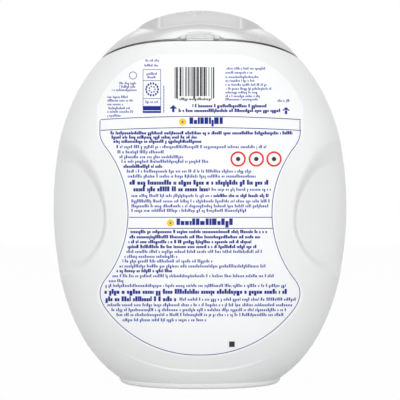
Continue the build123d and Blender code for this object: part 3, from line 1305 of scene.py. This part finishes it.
    def bar(self, radius: float, low_x: float, high_x: float, chamfer: float) -> Skin:
        """A round bar on the hinge axis with chamfered ends.

        Args:
            radius: Radius of the bar.
            low_x: One end.
            high_x: The other end.
            chamfer: Width of the bevel at both ends.

        Returns:
            The closed bar.
        """
        turn = np.linspace(0, 2 * np.pi, 40, endpoint=False)
        rows = []
        for x, size in ((low_x, radius - chamfer), (low_x + chamfer, radius),
                        (high_x - chamfer, radius), (high_x, radius - chamfer)):
            rows.append(np.stack([np.full_like(turn, x), self.hinge_y + size * np.cos(turn),
                                  self.hinge_height + size * np.sin(turn)], -1))
        ends = [np.array([x, self.hinge_y, self.hinge_height]) for x in (low_x, high_x)]
        return Skin.turned(np.stack(rows), *ends)

    def seal_ring(self) -> Skin:
        """The ring inside the lid that dips into the neck, from the dome's underside down.

        Returns:
            The closed ring.
        """
        turn = self.turns()[::2]
        offset = -self.tub.neck_wall - self.seal_clearance
        rings = []
        for grow, low in ((offset, True), (offset, False), (offset - self.seal_wall, False),
                          (offset - self.seal_wall, True)):
            radius = self.tub.neck_oval(turn, grow)
            x, y = radius * np.cos(turn), radius * np.sin(turn)
            top = self.form.dome(x, y, self.wall * self.seal_root_share)
            rings.append(np.stack([x, y, self.tub.parting.level(x, self.seal_low) if low else top], -1))
        return Skin.turned(np.stack(rings))

    def tab_window(self, side: int) -> Skin:
        """The opening round one press tab, with rounded upper corners.

        Args:
            side: -1 for the window at -X and 1 for the one at +X.

        Returns:
            The closed block that is cut out.
        """
        half = self.tab_width / 2 + self.tab_clearance
        top = self.tab_top + self.tab_clearance
        low = float(self.tub.parting.level(np.array(self.tab_centre[0]))) - self.window_drop
        across = np.linspace(-half, half, 41)[:, None]
        over = np.clip(np.abs(across) - half + self.tab_corner, 0.0, self.tab_corner)
        roof = top - self.tab_corner + np.sqrt(self.tab_corner**2 - over**2)
        roof = np.maximum(roof, top - self.tab_corner)
        z = low + (roof - low) * np.linspace(0, 1, 9)[None, :]
        across = np.broadcast_to(across, z.shape)
        turn = -side * math.radians(self.tab_angle)
        faces = []
        for depth in self.window_depths:
            x = side * self.tab_centre[0] + across * math.cos(turn) - depth * math.sin(turn)
            y = self.tab_centre[1] + across * math.sin(turn) + depth * math.cos(turn)
            faces.append(np.stack([x, y, z], -1))
        return Skin.slab(*faces)

    def hinge_parts(self) -> list[Skin]:
        """Ears, their webs and the two stub pins.

        Returns:
            Closed skins, which overlap the lid and each other.
        """
        half = self.knuckle_width / 2 + self.side_clearance
        made = []
        for side in (-1, 1):
            low, high = sorted((side * half, side * (half + self.ear_width)))
            made.append(self.bar(self.hinge_radius, low, high, self.ear_chamfer))
            thick = self.hinge_radius * self.web_share
            made.append(self.box((low + 1e-5, self.hinge_y, self.hinge_height - thick),
                                 (high - 1e-5, self.hinge_y + self.web_reach,
                                  self.hinge_height + thick)))
            low, high = sorted((side * (half - self.pin_length), side * (half + self.ear_width / 2)))
            made.append(self.bar(self.pin_radius, low, high, self.pin_chamfer))
        return made

    def build(self, finishes: Finishes) -> bpy.types.Object:
        """Makes the shell, cuts its openings, adds what it carries and dresses it.

        Args:
            finishes: Every finish of the tub.

        Returns:
            The lid's object.
        """
        obj = self.shell().to_object("lid_shell")
        parting = self.tub.parting.height
        half = self.knuckle_width / 2 + self.side_clearance
        slot = self.box((-half, self.outside_y, parting - self.slot_drop),
                        (half, -self.tub.neck_half_depth - self.slot_reach, parting + self.slot_top))
        cut(obj, [self.arch_slab(0.0, self.recess_low, None, self.recess_depth)])
        cut(obj, [self.tab_window(-1), self.tab_window(1)])
        backing = self.arch_slab(self.backing_growth, parting + self.backing_lift, self.recess_depth - 1e-5,
                                 self.recess_depth + self.wall).to_object("recess_backing")
        cut(backing, [slot])
        cut(obj, [slot])
        extras = Skin.joined(self.hinge_parts() + [self.seal_ring()]).to_object("lid_extras")
        join(obj, [backing, extras])
        obj.data.materials.clear()
        obj.data.materials.append(finishes.lid.make())
        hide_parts("lid")
        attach(obj, "lid")
        return obj


def join(obj: bpy.types.Object, others: list[bpy.types.Object]) -> None:
    """Makes other objects part of obj's mesh.

    Args:
        obj: Object that takes the others in.
        others: Objects that end in it.
    """
    with bpy.context.temp_override(active_object=obj, object=obj, selected_objects=[obj, *others],
                                   selected_editable_objects=[obj, *others]):
        bpy.ops.object.join()
    smooth_faces(obj.data)


@dataclass(frozen=True)
class LabelOutline:
    """Half of a waisted outline seen from the label side, as its half width at each height."""

    top: float = 0.223
    top_half_width: float = 0.021
    half_width: float = 0.0682
    shoulder: float = 0.189
    upper_corner: float = 0.1675
    waist_half_width: float = 0.0482
    waist_height: float = 0.1205
    lower_corner: float = 0.0695
    hip: float = 0.0595
    bottom: float = 0.0231
    side_x: float = 0.0510
    side_z: float = 0.0405
    rounding: float = 0.0045
    rounding_fade: float = 0.008
    least: float = 0.00015

    def bottom_arc(self) -> tuple[float, float, float]:
        """Centre and radius of the right-hand bottom arc; a short flat joins it to its mirror image."""
        return circle_through((self.half_width, self.hip), (self.side_x, self.side_z), (0.0, self.bottom))

    def lowest(self) -> float:
        """Height of the flat at the very bottom."""
        _, y, radius = self.bottom_arc()
        return y - radius + 1e-6

    def half_width_at(self, z: Array) -> Array:
        """Half width at z, with the corners of the waist and hip rounded by a short running mean.

        Args:
            z: Heights.

        Returns:
            Half widths.
        """
        reach = smooth_step((z - self.hip) / self.rounding_fade + 1.5)
        reach = reach * smooth_step((self.upper_corner - z) / self.rounding_fade + 1.5)
        steps = np.linspace(-1.0, 1.0, 11).reshape((11,) + (1,) * np.ndim(z))
        return self.sharp_half_width(z + steps * self.rounding * reach).mean(0)

    def sharp_half_width(self, z: Array) -> Array:
        """Half width at z: a shoulder arc, a flank, a waist arc, a flank and a bottom arc.

        Args:
            z: Heights.

        Returns:
            Half widths.
        """
        across, down = self.half_width - self.top_half_width, self.top - self.shoulder
        radius = (across**2 + down**2) / (2 * down)
        drop = np.clip(z - (self.top - radius), -radius, radius)
        shoulder = self.top_half_width + np.sqrt(radius**2 - drop**2)
        x, y, r = circle_through((self.half_width, self.upper_corner),
                                 (self.waist_half_width, self.waist_height),
                                 (self.half_width, self.lower_corner))
        waist = x - np.sqrt(np.clip(r**2 - (z - y) ** 2, 0, None))
        x, y, r = self.bottom_arc()
        bottom = x + np.sqrt(np.clip(r**2 - (z - y) ** 2, 0, None))
        width = np.where(z > self.shoulder, shoulder, self.half_width)
        width = np.where((z < self.upper_corner) & (z > self.lower_corner), waist, width)
        return np.clip(np.where(z < self.hip, bottom, width), self.least, None)


@dataclass
class Label:
    """The film on the label side, which follows the wall."""

    form: TubForm
    outline: LabelOutline = LabelOutline()
    columns: int = 90
    rows: int = 190
    lift: float = 0.00010
    thickness: float = 0.00014
    even_share: float = 0.72
    end_share: float = 0.28

    def sheet(self, lift: float) -> Array:
        """A grid over the outline, lifted off the wall.

        Args:
            lift: Distance off the wall.

        Returns:
            Points as an array of column, row and coordinate.
        """
        share = np.linspace(0, 1, self.rows)[None, :]
        share = self.even_share * share + self.end_share * (1 - np.cos(np.pi * share)) / 2
        low, high = self.outline.lowest(), self.outline.top
        z = low + (high - low) * share
        x = np.linspace(-1, 1, self.columns)[:, None] * self.outline.half_width_at(z)
        z = np.broadcast_to(z, x.shape)
        return np.stack([x, self.form.front(x, z, lift), z], -1)

    def build(self, finishes: Finishes) -> bpy.types.Object:
        """Makes and dresses the film.

        Args:
            finishes: Every finish of the tub.

        Returns:
            The film's object.
        """
        skin = Skin.slab(self.sheet(self.lift), self.sheet(self.lift - self.thickness))
        obj = skin.to_object("label_film")
        obj.data.materials.append(finishes.film.make())
        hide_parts("back_label")
        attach(obj, "tub")
        return obj


@dataclass(frozen=True)
class Viewpoint:
    """The photograph's camera: level, square to the label side."""

    distance: float = 1.0
    height: float = 0.127
    pixel: float = 0.0007
    middle_across: float = 199.5
    middle_down: float = 200.0
    frame: int = 400
    sensor: float = 36.0
    first_depth: float = -0.07

    def on_wall(self, across: Array, down: Array, form: TubForm) -> tuple[Array, Array]:
        """Where a pixel of the photograph falls on the label side.

        Args:
            across: Pixels from the left.
            down: Pixels from the top.
            form: The wall.

        Returns:
            x and z of the point, found by stepping the depth.
        """
        y = np.full(np.broadcast(across, down).shape, self.first_depth)
        for _ in range(5):
            scale = self.pixel * (1 + y / self.distance)
            x = (across - self.middle_across) * scale
            z = self.height - (down - self.middle_down) * scale
            y = form.front(x, z)
        return x, z

    def build(self) -> bpy.types.Object:
        """Makes the camera.

        Returns:
            The camera's object.
        """
        data = bpy.data.cameras.new("camera")
        data.sensor_width = self.sensor
        data.lens = self.sensor * self.distance / (self.pixel * self.frame)
        camera = bpy.data.objects.new("camera", data)
        camera.location = (0.0, -self.distance, self.height)
        camera.rotation_euler = (math.pi / 2, 0.0, 0.0)
        bpy.context.scene.collection.objects.link(camera)
        bpy.context.scene.camera = camera
        return camera


class Weight(Enum):
    """How heavy a row of print is: letter height in pixels, pitch, share of ink and ink."""

    SMALL = (2.5, 1.35, 0.68, "blue")
    DIGITS = (2.6, 1.35, 0.72, "black")
    REGULAR = (3.2, 1.7, 0.68, "blue")
    BOLD = (3.4, 1.8, 0.84, "navy")
    LARGE = (4.9, 2.55, 0.86, "navy")
    HEADING = (6.6, 4.2, 0.84, "navy")


SMALL, DIGITS, REGULAR, BOLD, LARGE, HEADING = Weight


@dataclass(frozen=True)
class TextRow:
    """A row of greeked print, in pixels of the photograph: its middle, its two ends and weight."""

    down: float
    left: float
    right: float
    weight: Weight = REGULAR


@dataclass(frozen=True)
class RuledLine:
    """A thin line across the label, in pixels; sag is its drop at 100 pixels off the middle."""

    down: float
    left: float
    right: float
    sag: float = 0.0


@dataclass(frozen=True)
class Barcode:
    """A pattern of upright bars: its sides in pixels, and the widths that a bar or a gap may have."""

    left: float = 174.2
    right: float = 213.7
    top: float = 67.0
    bottom: float = 96.2
    guard_bottom: float = 98.6
    elements: int = 37
    widths: tuple[int, ...] = (1, 1, 2, 3)
    ink_spread: float = 0.3


@dataclass(frozen=True)
class BlockRing:
    """A circle of upright blocks, in pixels; every is 1 for all its places and 2 for each second one."""

    ink: str
    radius: float
    half_width: float
    half_height: float
    every: int


@dataclass(frozen=True)
class FramedBox:
    """The framed box at the top left, in pixels: its frame, level lines, bars and rings of blocks."""

    left: float = 142.3
    right: float = 160.5
    top: float = 69.2
    bottom: float = 113.0
    line: float = 0.55
    levels: tuple[float, ...] = (69.2, 80.4, 98.3)
    bars: tuple[tuple[float, float], ...] = ((106.0, 110.4), (111.0, 113.0))
    middle: tuple[float, float] = (151.6, 89.4)
    blocks: int = 14
    rings: tuple[BlockRing, ...] = (BlockRing("navy", 6.0, 0.8, 1.1, 1),
                                    BlockRing("blue", 3.0, 0.7, 0.8, 2))


@dataclass(frozen=True)
class Arrow:
    """A plain arrow that points up to the lid, in pixels: a stem under a head of widening steps."""

    across: float
    down: float
    head_half: float = 4.0
    head_rise: float = 3.6
    head_height: float = 3.8
    head_steps: int = 6
    stem_half: float = 1.2
    stem_length: float = 3.6


@dataclass(frozen=True)
class DashColumn:
    """An upright column of short dashes, in pixels."""

    left: float = 162.6
    right: float = 163.9
    top: float = 86.0
    bottom: float = 113.0
    dashes: int = 18
    height: float = 0.9


# Every row of print in the order in which it is laid: at the top, and under either heading.
CORNER_ROWS = [
    TextRow(60.8, 144, 159, SMALL), TextRow(65.7, 144, 159, SMALL),
    TextRow(74.0, 145, 157, SMALL), TextRow(77.6, 147, 156, SMALL), TextRow(102.2, 145, 158, SMALL),
    TextRow(83.6, 119, 136, SMALL), TextRow(87.0, 119, 136, SMALL), TextRow(90.3, 111.4, 136, SMALL),
    TextRow(97.3, 107, 128, SMALL), TextRow(100.8, 107, 133, SMALL), TextRow(104.6, 107, 122.6, SMALL),
    TextRow(108.5, 108, 129.6, SMALL), TextRow(112.0, 107, 134, SMALL), TextRow(115.9, 107, 121, SMALL),
    TextRow(101.0, 277, 289, SMALL), TextRow(99.4, 176, 212, DIGITS)]
RIGHT_ROWS = [
    TextRow(down, 225, right, SMALL)
    for down, right in ((68.8, 265), (72.9, 253), (77.3, 259), (81.0, 254), (85.0, 268),
                        (89.0, 271), (92.7, 257), (96.4, 260), (99.7, 258))]
CENTRE_ROWS = [TextRow(106.3, 192, 267, BOLD), TextRow(111.0, 178, 281, BOLD)]
UPPER_ROWS = [
    TextRow(121.9, 189, 222, HEADING), TextRow(133.4, 110, 293, BOLD),
    TextRow(137.6, 111, 197, BOLD), TextRow(141.8, 113, 201, BOLD), TextRow(147.2, 116, 268),
    TextRow(152.4, 117, 164), TextRow(157.3, 119, 183), TextRow(161.8, 121, 208),
    TextRow(166.8, 123, 162, BOLD), TextRow(171.6, 125, 252), TextRow(176.6, 126, 256),
    TextRow(183.2, 129, 267.5, LARGE), TextRow(189.8, 131, 207, LARGE), TextRow(189.8, 208, 271),
    TextRow(196.1, 131, 212), TextRow(196.1, 213, 268, BOLD), TextRow(201.5, 131, 270),
    TextRow(206.4, 131, 268), TextRow(210.9, 131, 247)]
LOWER_ROWS = [
    TextRow(223.0, 176, 234, HEADING), TextRow(232.1, 130, 268, BOLD),
    TextRow(237.3, 129, 260.5, BOLD), TextRow(242.2, 128, 252, BOLD), TextRow(247.1, 127, 255.6, BOLD),
    TextRow(252.0, 126, 262.6), TextRow(256.9, 124, 177), TextRow(261.5, 122, 213),
    TextRow(266.5, 119, 266), TextRow(271.2, 116, 174, BOLD), TextRow(276.3, 112, 276),
    TextRow(281.2, 107, 124), TextRow(286.0, 105, 286), TextRow(292.3, 104, 288, LARGE),
    TextRow(299.7, 105, 177, LARGE), TextRow(299.7, 179, 295.6), TextRow(305.3, 107, 292),
    TextRow(310.2, 111, 286), TextRow(315.1, 116, 284), TextRow(320.3, 122, 206.5)]


@dataclass
class Printing:
    """All the ink on the label: rows of blocks that stand for print, rules, bars, rings and marks."""

    form: TubForm
    view: Viewpoint
    lift: float = 0.00013
    thickness: float = 0.00005
    seed: int = 41
    border: LabelOutline = LabelOutline(top=0.2213, half_width=0.0659, waist_half_width=0.0468,
                                        upper_corner=0.1665, lower_corner=0.0705, hip=0.0605,
                                        bottom=0.0248, side_x=0.0484, side_z=0.0410)
    border_top: float = 0.1795
    border_turn: float = 0.070
    border_line: float = 0.0005
    band_lines: tuple[RuledLine, ...] = (
        RuledLine(116.4, 100.2, 300.4, 3.2), RuledLine(127.6, 100.2, 300.4, 2.8),
        RuledLine(217.3, 128.4, 272.0), RuledLine(228.4, 127.4, 272.8))
    band_middle: float = 200.0
    band_marks: tuple[tuple[float, float], ...] = ((182.0, 121.9), (170.0, 223.0))
    mark_radius: float = 3.6
    mark_spot: float = 0.9
    barcode: Barcode = Barcode()
    framed_box: FramedBox = FramedBox()
    arrows: tuple[Arrow, ...] = (Arrow(172.8, 108.5), Arrow(285.5, 110.5))
    dashes: DashColumn = DashColumn()
    # The small ring's middle across and down, its radius and its line.
    small_ring: tuple[float, float, float, float] = (132.5, 75.5, 3.6, 0.7)
    rings: tuple[float, ...] = (237.6, 255.8, 273.5)
    ring_down: float = 159.0
    ring_radius: float = 6.8
    ring_line: float = 1.8
    ring_spot: float = 2.2
    # The square's left, right, upper and lower side.
    foot_square: tuple[float, float, float, float] = (228.6, 234.2, 341.4, 347.0)
    wall_scale: float = 0.93
    block_widths: tuple[float, ...] = (0.62, 0.9, 1.0, 1.05, 1.3)
    block_odds: tuple[float, ...] = (0.16, 0.26, 0.3, 0.2, 0.08)
    gap_odds: float = 0.19
    gap_share: float = 0.75
    letter_share: float = 0.62
    tall_odds: float = 0.3
    heading_tall_odds: float = 0.6
    tail_from: float = 0.9

    def __post_init__(self) -> None:
        """Starts with an empty set of skins for each ink."""
        self.inked: dict[str, list[Skin]] = {}
        self.random = np.random.default_rng(self.seed)

    def lay(self, x: Array, z: Array, lift: float) -> Array:
        """Points on the label at x and z."""
        return np.stack([x, self.form.front(x, z, lift), z], -1)

    def keep(self, ink: str, skin: Skin) -> None:
        """Adds a skin to what its ink prints."""
        self.inked.setdefault(ink, []).append(skin)

    def faces(self, x: Array, z: Array) -> tuple[Array, Array]:
        """Front and back of the ink at x and z."""
        return self.lay(x, z, self.lift), self.lay(x, z, self.lift - self.thickness)

    def tiles(self, ink: str, left: Array, right: Array, top: Array, bottom: Array) -> None:
        """Prints separate upright rectangles given in pixels of the photograph.

        Args:
            ink: Name of the ink.
            left: Left sides.
            right: Right sides.
            top: Upper sides.
            bottom: Lower sides.
        """
        left, right, top, bottom = (np.atleast_1d(np.asarray(v, float)) for v in (left, right, top, bottom))
        across = np.stack([left, right, right, left], -1)
        down = np.stack([bottom, bottom, top, top], -1)
        x, z = self.view.on_wall(across, down, self.form)
        points = np.concatenate(self.faces(x, z), 1)
        box = np.array([[0, 1, 2, 3], [7, 6, 5, 4], [4, 5, 1, 0], [5, 6, 2, 1], [6, 7, 3, 2], [7, 4, 0, 3]])
        quads = (np.arange(len(points))[:, None, None] * 8 + box[None]).reshape(-1, 4)
        self.keep(ink, Skin(points.reshape(-1, 3), quads))

    def panel(self, ink: str, left: float, right: float, top: float, bottom: float) -> None:
        """Prints one rectangle that is large enough to need a grid of its own, in pixels.

        Args:
            ink: Name of the ink.
            left: Left side.
            right: Right side.
            top: Upper side.
            bottom: Lower side.
        """
        columns = max(2, int((right - left) / 2) + 2)
        rows = max(2, int((bottom - top) / 2) + 2)
        across, down = np.meshgrid(np.linspace(left, right, columns), np.linspace(bottom, top, rows),
                                   indexing="ij")
        x, z = self.view.on_wall(across, down, self.form)
        self.keep(ink, Skin.slab(*self.faces(x, z)))

    def ribbon(self, ink: str, x: Array, z: Array, width: float, closed: bool = False) -> None:
        """Prints a line of even width along a path on the wall.

        Args:
            ink: Name of the ink.
            x: Path across, in metres.
            z: Path up, in metres.
            width: Width of the line in metres.
            closed: Whether the path joins its own start.
        """
        step_x, step_z = np.gradient(x), np.gradient(z)
        if closed:
            step_x, step_z = np.roll(x, -1) - np.roll(x, 1), np.roll(z, -1) - np.roll(z, 1)
        length = np.hypot(step_x, step_z)
        side_x, side_z = -step_z / length * width / 2, step_x / length * width / 2
        corners = [(-1, self.lift), (1, self.lift), (1, self.lift - self.thickness),
                   (-1, self.lift - self.thickness)]
        loop = [self.lay(x + side * side_x, z + side * side_z, lift) for side, lift in corners]
        around = np.stack(loop, 1)[:, ::-1]
        ends = [] if closed else [around[0].mean(0), around[-1].mean(0)]
        self.keep(ink, Skin.turned(around, *ends))

    def photo_line(self, ink: str, across: Array, down: Array, width: float) -> None:
        """Prints a line whose path is in pixels of the photograph."""
        x, z = self.view.on_wall(np.asarray(across, float), np.asarray(down, float), self.form)
        self.ribbon(ink, x, z, width)

    def disc(self, ink: str, across: float, down: float, radius: float) -> None:
        """Prints a full round spot, given in pixels.

        Args:
            ink: Name of the ink.
            across: Middle, from the left.
            down: Middle, from the top.
            radius: Radius.
        """
        turn = np.linspace(0, 2 * np.pi, 32, endpoint=False)
        x, z = self.view.on_wall(across + radius * np.cos(turn), down - radius * np.sin(turn), self.form)
        rows = np.stack(self.faces(x, z)[::-1])
        ends = [row.mean(0) for row in rows]
        self.keep(ink, Skin.turned(rows, *ends))

    def ring(self, ink: str, across: float, down: float, radius: float, line: float) -> None:
        """Prints a round line, given in pixels.

        Args:
            ink: Name of the ink.
            across: Middle, from the left.
            down: Middle, from the top.
            radius: Radius of the line's middle.
            line: Width of the line.
        """
        turn = np.linspace(0, 2 * np.pi, 48, endpoint=False)
        x, z = self.view.on_wall(across + radius * np.cos(turn), down - radius * np.sin(turn), self.form)
        self.ribbon(ink, x, z, line * self.view.pixel * self.wall_scale, closed=True)

    def row(self, text: TextRow) -> None:
        """Prints one greeked row: seeded blocks in word groups, some taller, some lower.

        Args:
            text: Place and weight of the row.
        """
        height, pitch, share, ink = text.weight.value
        heading = text.weight is HEADING
        count = int((text.right - text.left) / pitch * 1.6) + 12
        widths = pitch * self.random.choice(self.block_widths, count, p=self.block_odds)
        often = 0.0 if heading else self.gap_odds
        spaces = np.where(self.random.random(count) < often, pitch * self.gap_share, 0.0)
        starts = text.left + np.cumsum(widths + spaces) - widths
        keep = starts + widths < text.right + pitch * 0.3
        starts, widths = starts[keep], widths[keep]
        tall = self.random.random(len(starts))
        middle = self.letter_share * height
        tallest = self.heading_tall_odds if heading else self.tall_odds
        up = np.where(tall < tallest, height - middle / 2, middle / 2)
        down = np.where(tall > self.tail_from, height - middle / 2, middle / 2)
        self.tiles(ink, starts, starts + widths * share, text.down - up, text.down + down)

    def print_border(self) -> None:
        """Prints the navy border that runs down both sides and round the bottom."""
        outline, turn = self.border, self.border_turn
        quarter = np.sin(np.linspace(0, np.pi / 2, 90)[1:])
        z = np.concatenate([np.linspace(self.border_top, turn, 120),
                            turn - (turn - outline.lowest()) * quarter])
        x = outline.half_width_at(z)
        flat = np.linspace(-x[-1], x[-1], 16)[1:-1]
        self.ribbon("navy", np.concatenate([-x, flat, x[::-1]]),
                    np.concatenate([z, np.full_like(flat, z[-1]), z[::-1]]), self.border_line)

    def print_bands(self) -> None:
        """Prints the two header bands: a line above and below each heading, with a round mark."""
        for line in self.band_lines:
            across = np.linspace(line.left, line.right, 80)
            sag = line.sag * ((across - self.band_middle) / 100) ** 2
            self.photo_line("navy", across, line.down + sag, self.border_line)
        for across, down in self.band_marks:
            self.disc("yellow", across, down, self.mark_radius)
            self.disc("navy", across, down, self.mark_spot)

    def print_barcode(self) -> None:
        """Prints upright bars of seeded widths, of which five guard bars reach lower."""
        code = self.barcode
        units = self.random.choice(code.widths, code.elements).astype(float)
        units[::2] += code.ink_spread
        edges = code.left + np.concatenate([[0], np.cumsum(units)]) * (code.right - code.left) / units.sum()
        starts, ends = edges[:-1:2], edges[1::2]
        guard = np.zeros(len(starts), bool)
        guard[[0, 1, len(starts) // 2, -2, -1]] = True
        for start, end, long in zip(starts, ends, guard):
            self.panel("black", start, end, code.top, code.guard_bottom if long else code.bottom)

    def print_framed_box(self) -> None:
        """Prints the framed box with its level lines, its bars and its rings of blocks."""
        box = self.framed_box
        for side in (box.left, box.right - box.line):
            self.panel("navy", side, side + box.line, box.top, box.bottom)
        for level in box.levels:
            self.panel("navy", box.left, box.right, level, level + box.line)
        for top, bottom in box.bars:
            self.panel("navy", box.left, box.right, top, bottom)
        turn = np.linspace(0, 2 * np.pi, box.blocks, endpoint=False)
        for ring in box.rings:
            across = box.middle[0] + ring.radius * np.cos(turn[::ring.every])
            down = box.middle[1] + ring.radius * np.sin(turn[::ring.every])
            self.tiles(ring.ink, across - ring.half_width, across + ring.half_width,
                       down - ring.half_height, down + ring.half_height)

    def print_arrow(self, arrow: Arrow) -> None:
        """Prints one arrow: the steps of its head, each wider than the last, and its stem.

        Args:
            arrow: Its place and sizes.
        """
        level = np.linspace(0, 1, arrow.head_steps + 1)
        half = arrow.head_half * (level[1:] + level[:-1]) / 2
        top = arrow.down - arrow.head_rise + arrow.head_height * level
        self.tiles("navy", arrow.across - half, arrow.across + half, top[:-1], top[1:])
        self.tiles("navy", arrow.across - arrow.stem_half, arrow.across + arrow.stem_half,
                   arrow.down, arrow.down + arrow.stem_length)

    def print_signs(self) -> None:
        """Prints the dashes beside the box, the plain rings and the small square near the label's foot."""
        column = self.dashes
        top = np.linspace(column.top, column.bottom, column.dashes + 1)[:-1]
        self.tiles("blue", np.full_like(top, column.left), np.full_like(top, column.right),
                   top, top + column.height)
        self.ring("navy", *self.small_ring)
        for across in self.rings:
            self.ring("red", across, self.ring_down, self.ring_radius, self.ring_line)
            self.disc("black", across, self.ring_down, self.ring_spot)
        self.tiles("black", *self.foot_square)

    def build(self, finishes: Finishes) -> list[bpy.types.Object]:
        """Prints everything and makes one object for each ink.

        Args:
            finishes: Every finish of the tub, where an ink has the name it prints under.

        Returns:
            One object for each ink.
        """
        for text in CORNER_ROWS + RIGHT_ROWS + CENTRE_ROWS + UPPER_ROWS + LOWER_ROWS:
            self.row(text)
        self.print_border()
        self.print_bands()
        self.print_barcode()
        self.print_framed_box()
        for arrow in self.arrows:
            self.print_arrow(arrow)
        self.print_signs()
        objects = []
        for ink, skins in self.inked.items():
            obj = Skin.joined(skins).to_object("print_" + ink)
            obj.data.materials.append(getattr(finishes, ink).make())
            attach(obj, "tub")
            objects.append(obj)
        return objects


@dataclass(frozen=True)
class SoftBox:
    """One soft lamp that looks at the tub."""

    name: str
    place: tuple[float, float, float]
    size: tuple[float, float]
    power: float
    aim: tuple[float, float, float] = (0.0, 0.0, 0.13)

    def build(self) -> bpy.types.Object:
        """Makes the lamp.

        Returns:
            The lamp's object.
        """
        data = bpy.data.lights.new(self.name, "AREA")
        data.shape = "RECTANGLE"
        data.size, data.size_y = self.size
        data.energy = self.power
        lamp = bpy.data.objects.new(self.name, data)
        lamp.location = self.place
        lamp.rotation_euler = (Vector(self.aim) - Vector(self.place)).to_track_quat("-Z", "Y").to_euler()
        bpy.context.scene.collection.objects.link(lamp)
        return lamp


@dataclass
class Studio:
    """White floor and surroundings, and the soft lamps."""

    floor_half: float = 3.0
    floor_drop: float = 0.0001
    fill: float = 0.34
    floor_white: float = 0.65
    floor_glow: float = 0.98
    lamps: tuple[SoftBox, ...] = (
        SoftBox("overhead", (0.0, -0.03, 1.5), (1.25, 0.24), 5.2),
        SoftBox("front", (0.0, -2.2, 0.10), (1.9, 1.0), 14.6),
        SoftBox("front_low", (0.0, -1.5, 0.09), (0.9, 0.12), 7.0, (0.0, 0.0, 0.04)),
        SoftBox("left", (-1.3, -0.65, 0.80), (0.7, 1.0), 5.2),
        SoftBox("right", (1.3, -0.65, 0.80), (0.7, 1.0), 5.2),
        SoftBox("back", (0.0, 1.3, 1.4), (1.2, 0.8), 4.0))

    def world(self) -> None:
        """White to the camera and in reflections, and a paler fill on everything else."""
        world = bpy.data.worlds.new("surroundings")
        bpy.context.scene.world = world
        world.use_nodes = True
        tree = world.node_tree
        tree.nodes.clear()
        strength = seen_rays(tree) * (1.0 - self.fill) + self.fill
        back = tree.nodes.new("ShaderNodeBackground")
        tree.links.new(strength.socket, back.inputs["Strength"])
        output = tree.nodes.new("ShaderNodeOutputWorld")
        tree.links.new(back.outputs[0], output.inputs["Surface"])
        back.inputs["Color"].default_value = (1.0, 1.0, 1.0, 1.0)

    def floor(self) -> None:
        """A pale floor that keeps the tub's shadow and shows almost white to the camera."""
        half = self.floor_half
        corners = np.array([[-half, -half, 0], [half, -half, 0], [half, half, 0], [-half, half, 0]])
        floor = Skin(corners - [0, 0, self.floor_drop], np.array([[0, 1, 2, 3]])).to_object("floor")
        shop = Workshop("floor_white")
        shop.set(Base_Color=(self.floor_white,) * 3, Roughness=0.9, Specular_IOR_Level=0.0)
        glow = shop.node("ShaderNodeEmission", inputs={"Strength": 1.0})
        share = seen_rays(shop.tree) * self.floor_glow
        mix = shop.node("ShaderNodeMixShader", inputs={0: share, 1: shop.shader.outputs[0],
                                                       2: glow.outputs[0]})
        shop.tree.links.new(mix.outputs[0], shop.output.inputs["Surface"])
        floor.data.materials.append(shop.material)

    def build(self) -> None:
        """Sets up the surroundings."""
        self.world()
        self.floor()
        for lamp in self.lamps:
            lamp.build()
        bpy.context.scene.view_settings.view_transform = "Standard"


def dress_nodes(frame: dict, finishes: Finishes) -> None:
    """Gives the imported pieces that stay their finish: the collar and the press tabs.

    Args:
        finishes: Every finish of the tub.
    """
    material = finishes.lid.make()
    for name in ("collar", "latch_tab_left", "latch_tab_right"):
        node = frame["nodes"][name]
        node.data.materials.clear()
        node.data.materials.append(material)


def corners(bounds: tuple[Vector, Vector]) -> list[list[float]]:
    """Two corners as plain lists."""
    return [list(corner) for corner in bounds]


def main() -> None:
    """Builds the tub and its studio, in order."""
    logging.basicConfig(level=logging.INFO, format="%(message)s")
    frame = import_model()
    finishes = Finishes()
    form, parting, view = TubForm(), Parting(), Viewpoint()
    tub = Tub(form, parting)
    pieces = [tub.build(finishes), Lid(LidForm(parting), tub).build(finishes),
              Label(form).build(finishes), *Printing(form, view).build(finishes)]
    for piece in pieces:
        LOG.info("%s: %d faces", piece.name, len(piece.data.polygons))
    dress_nodes(frame, finishes)
    view.build()
    Studio().build()


if __name__ == "__main__":
    main()
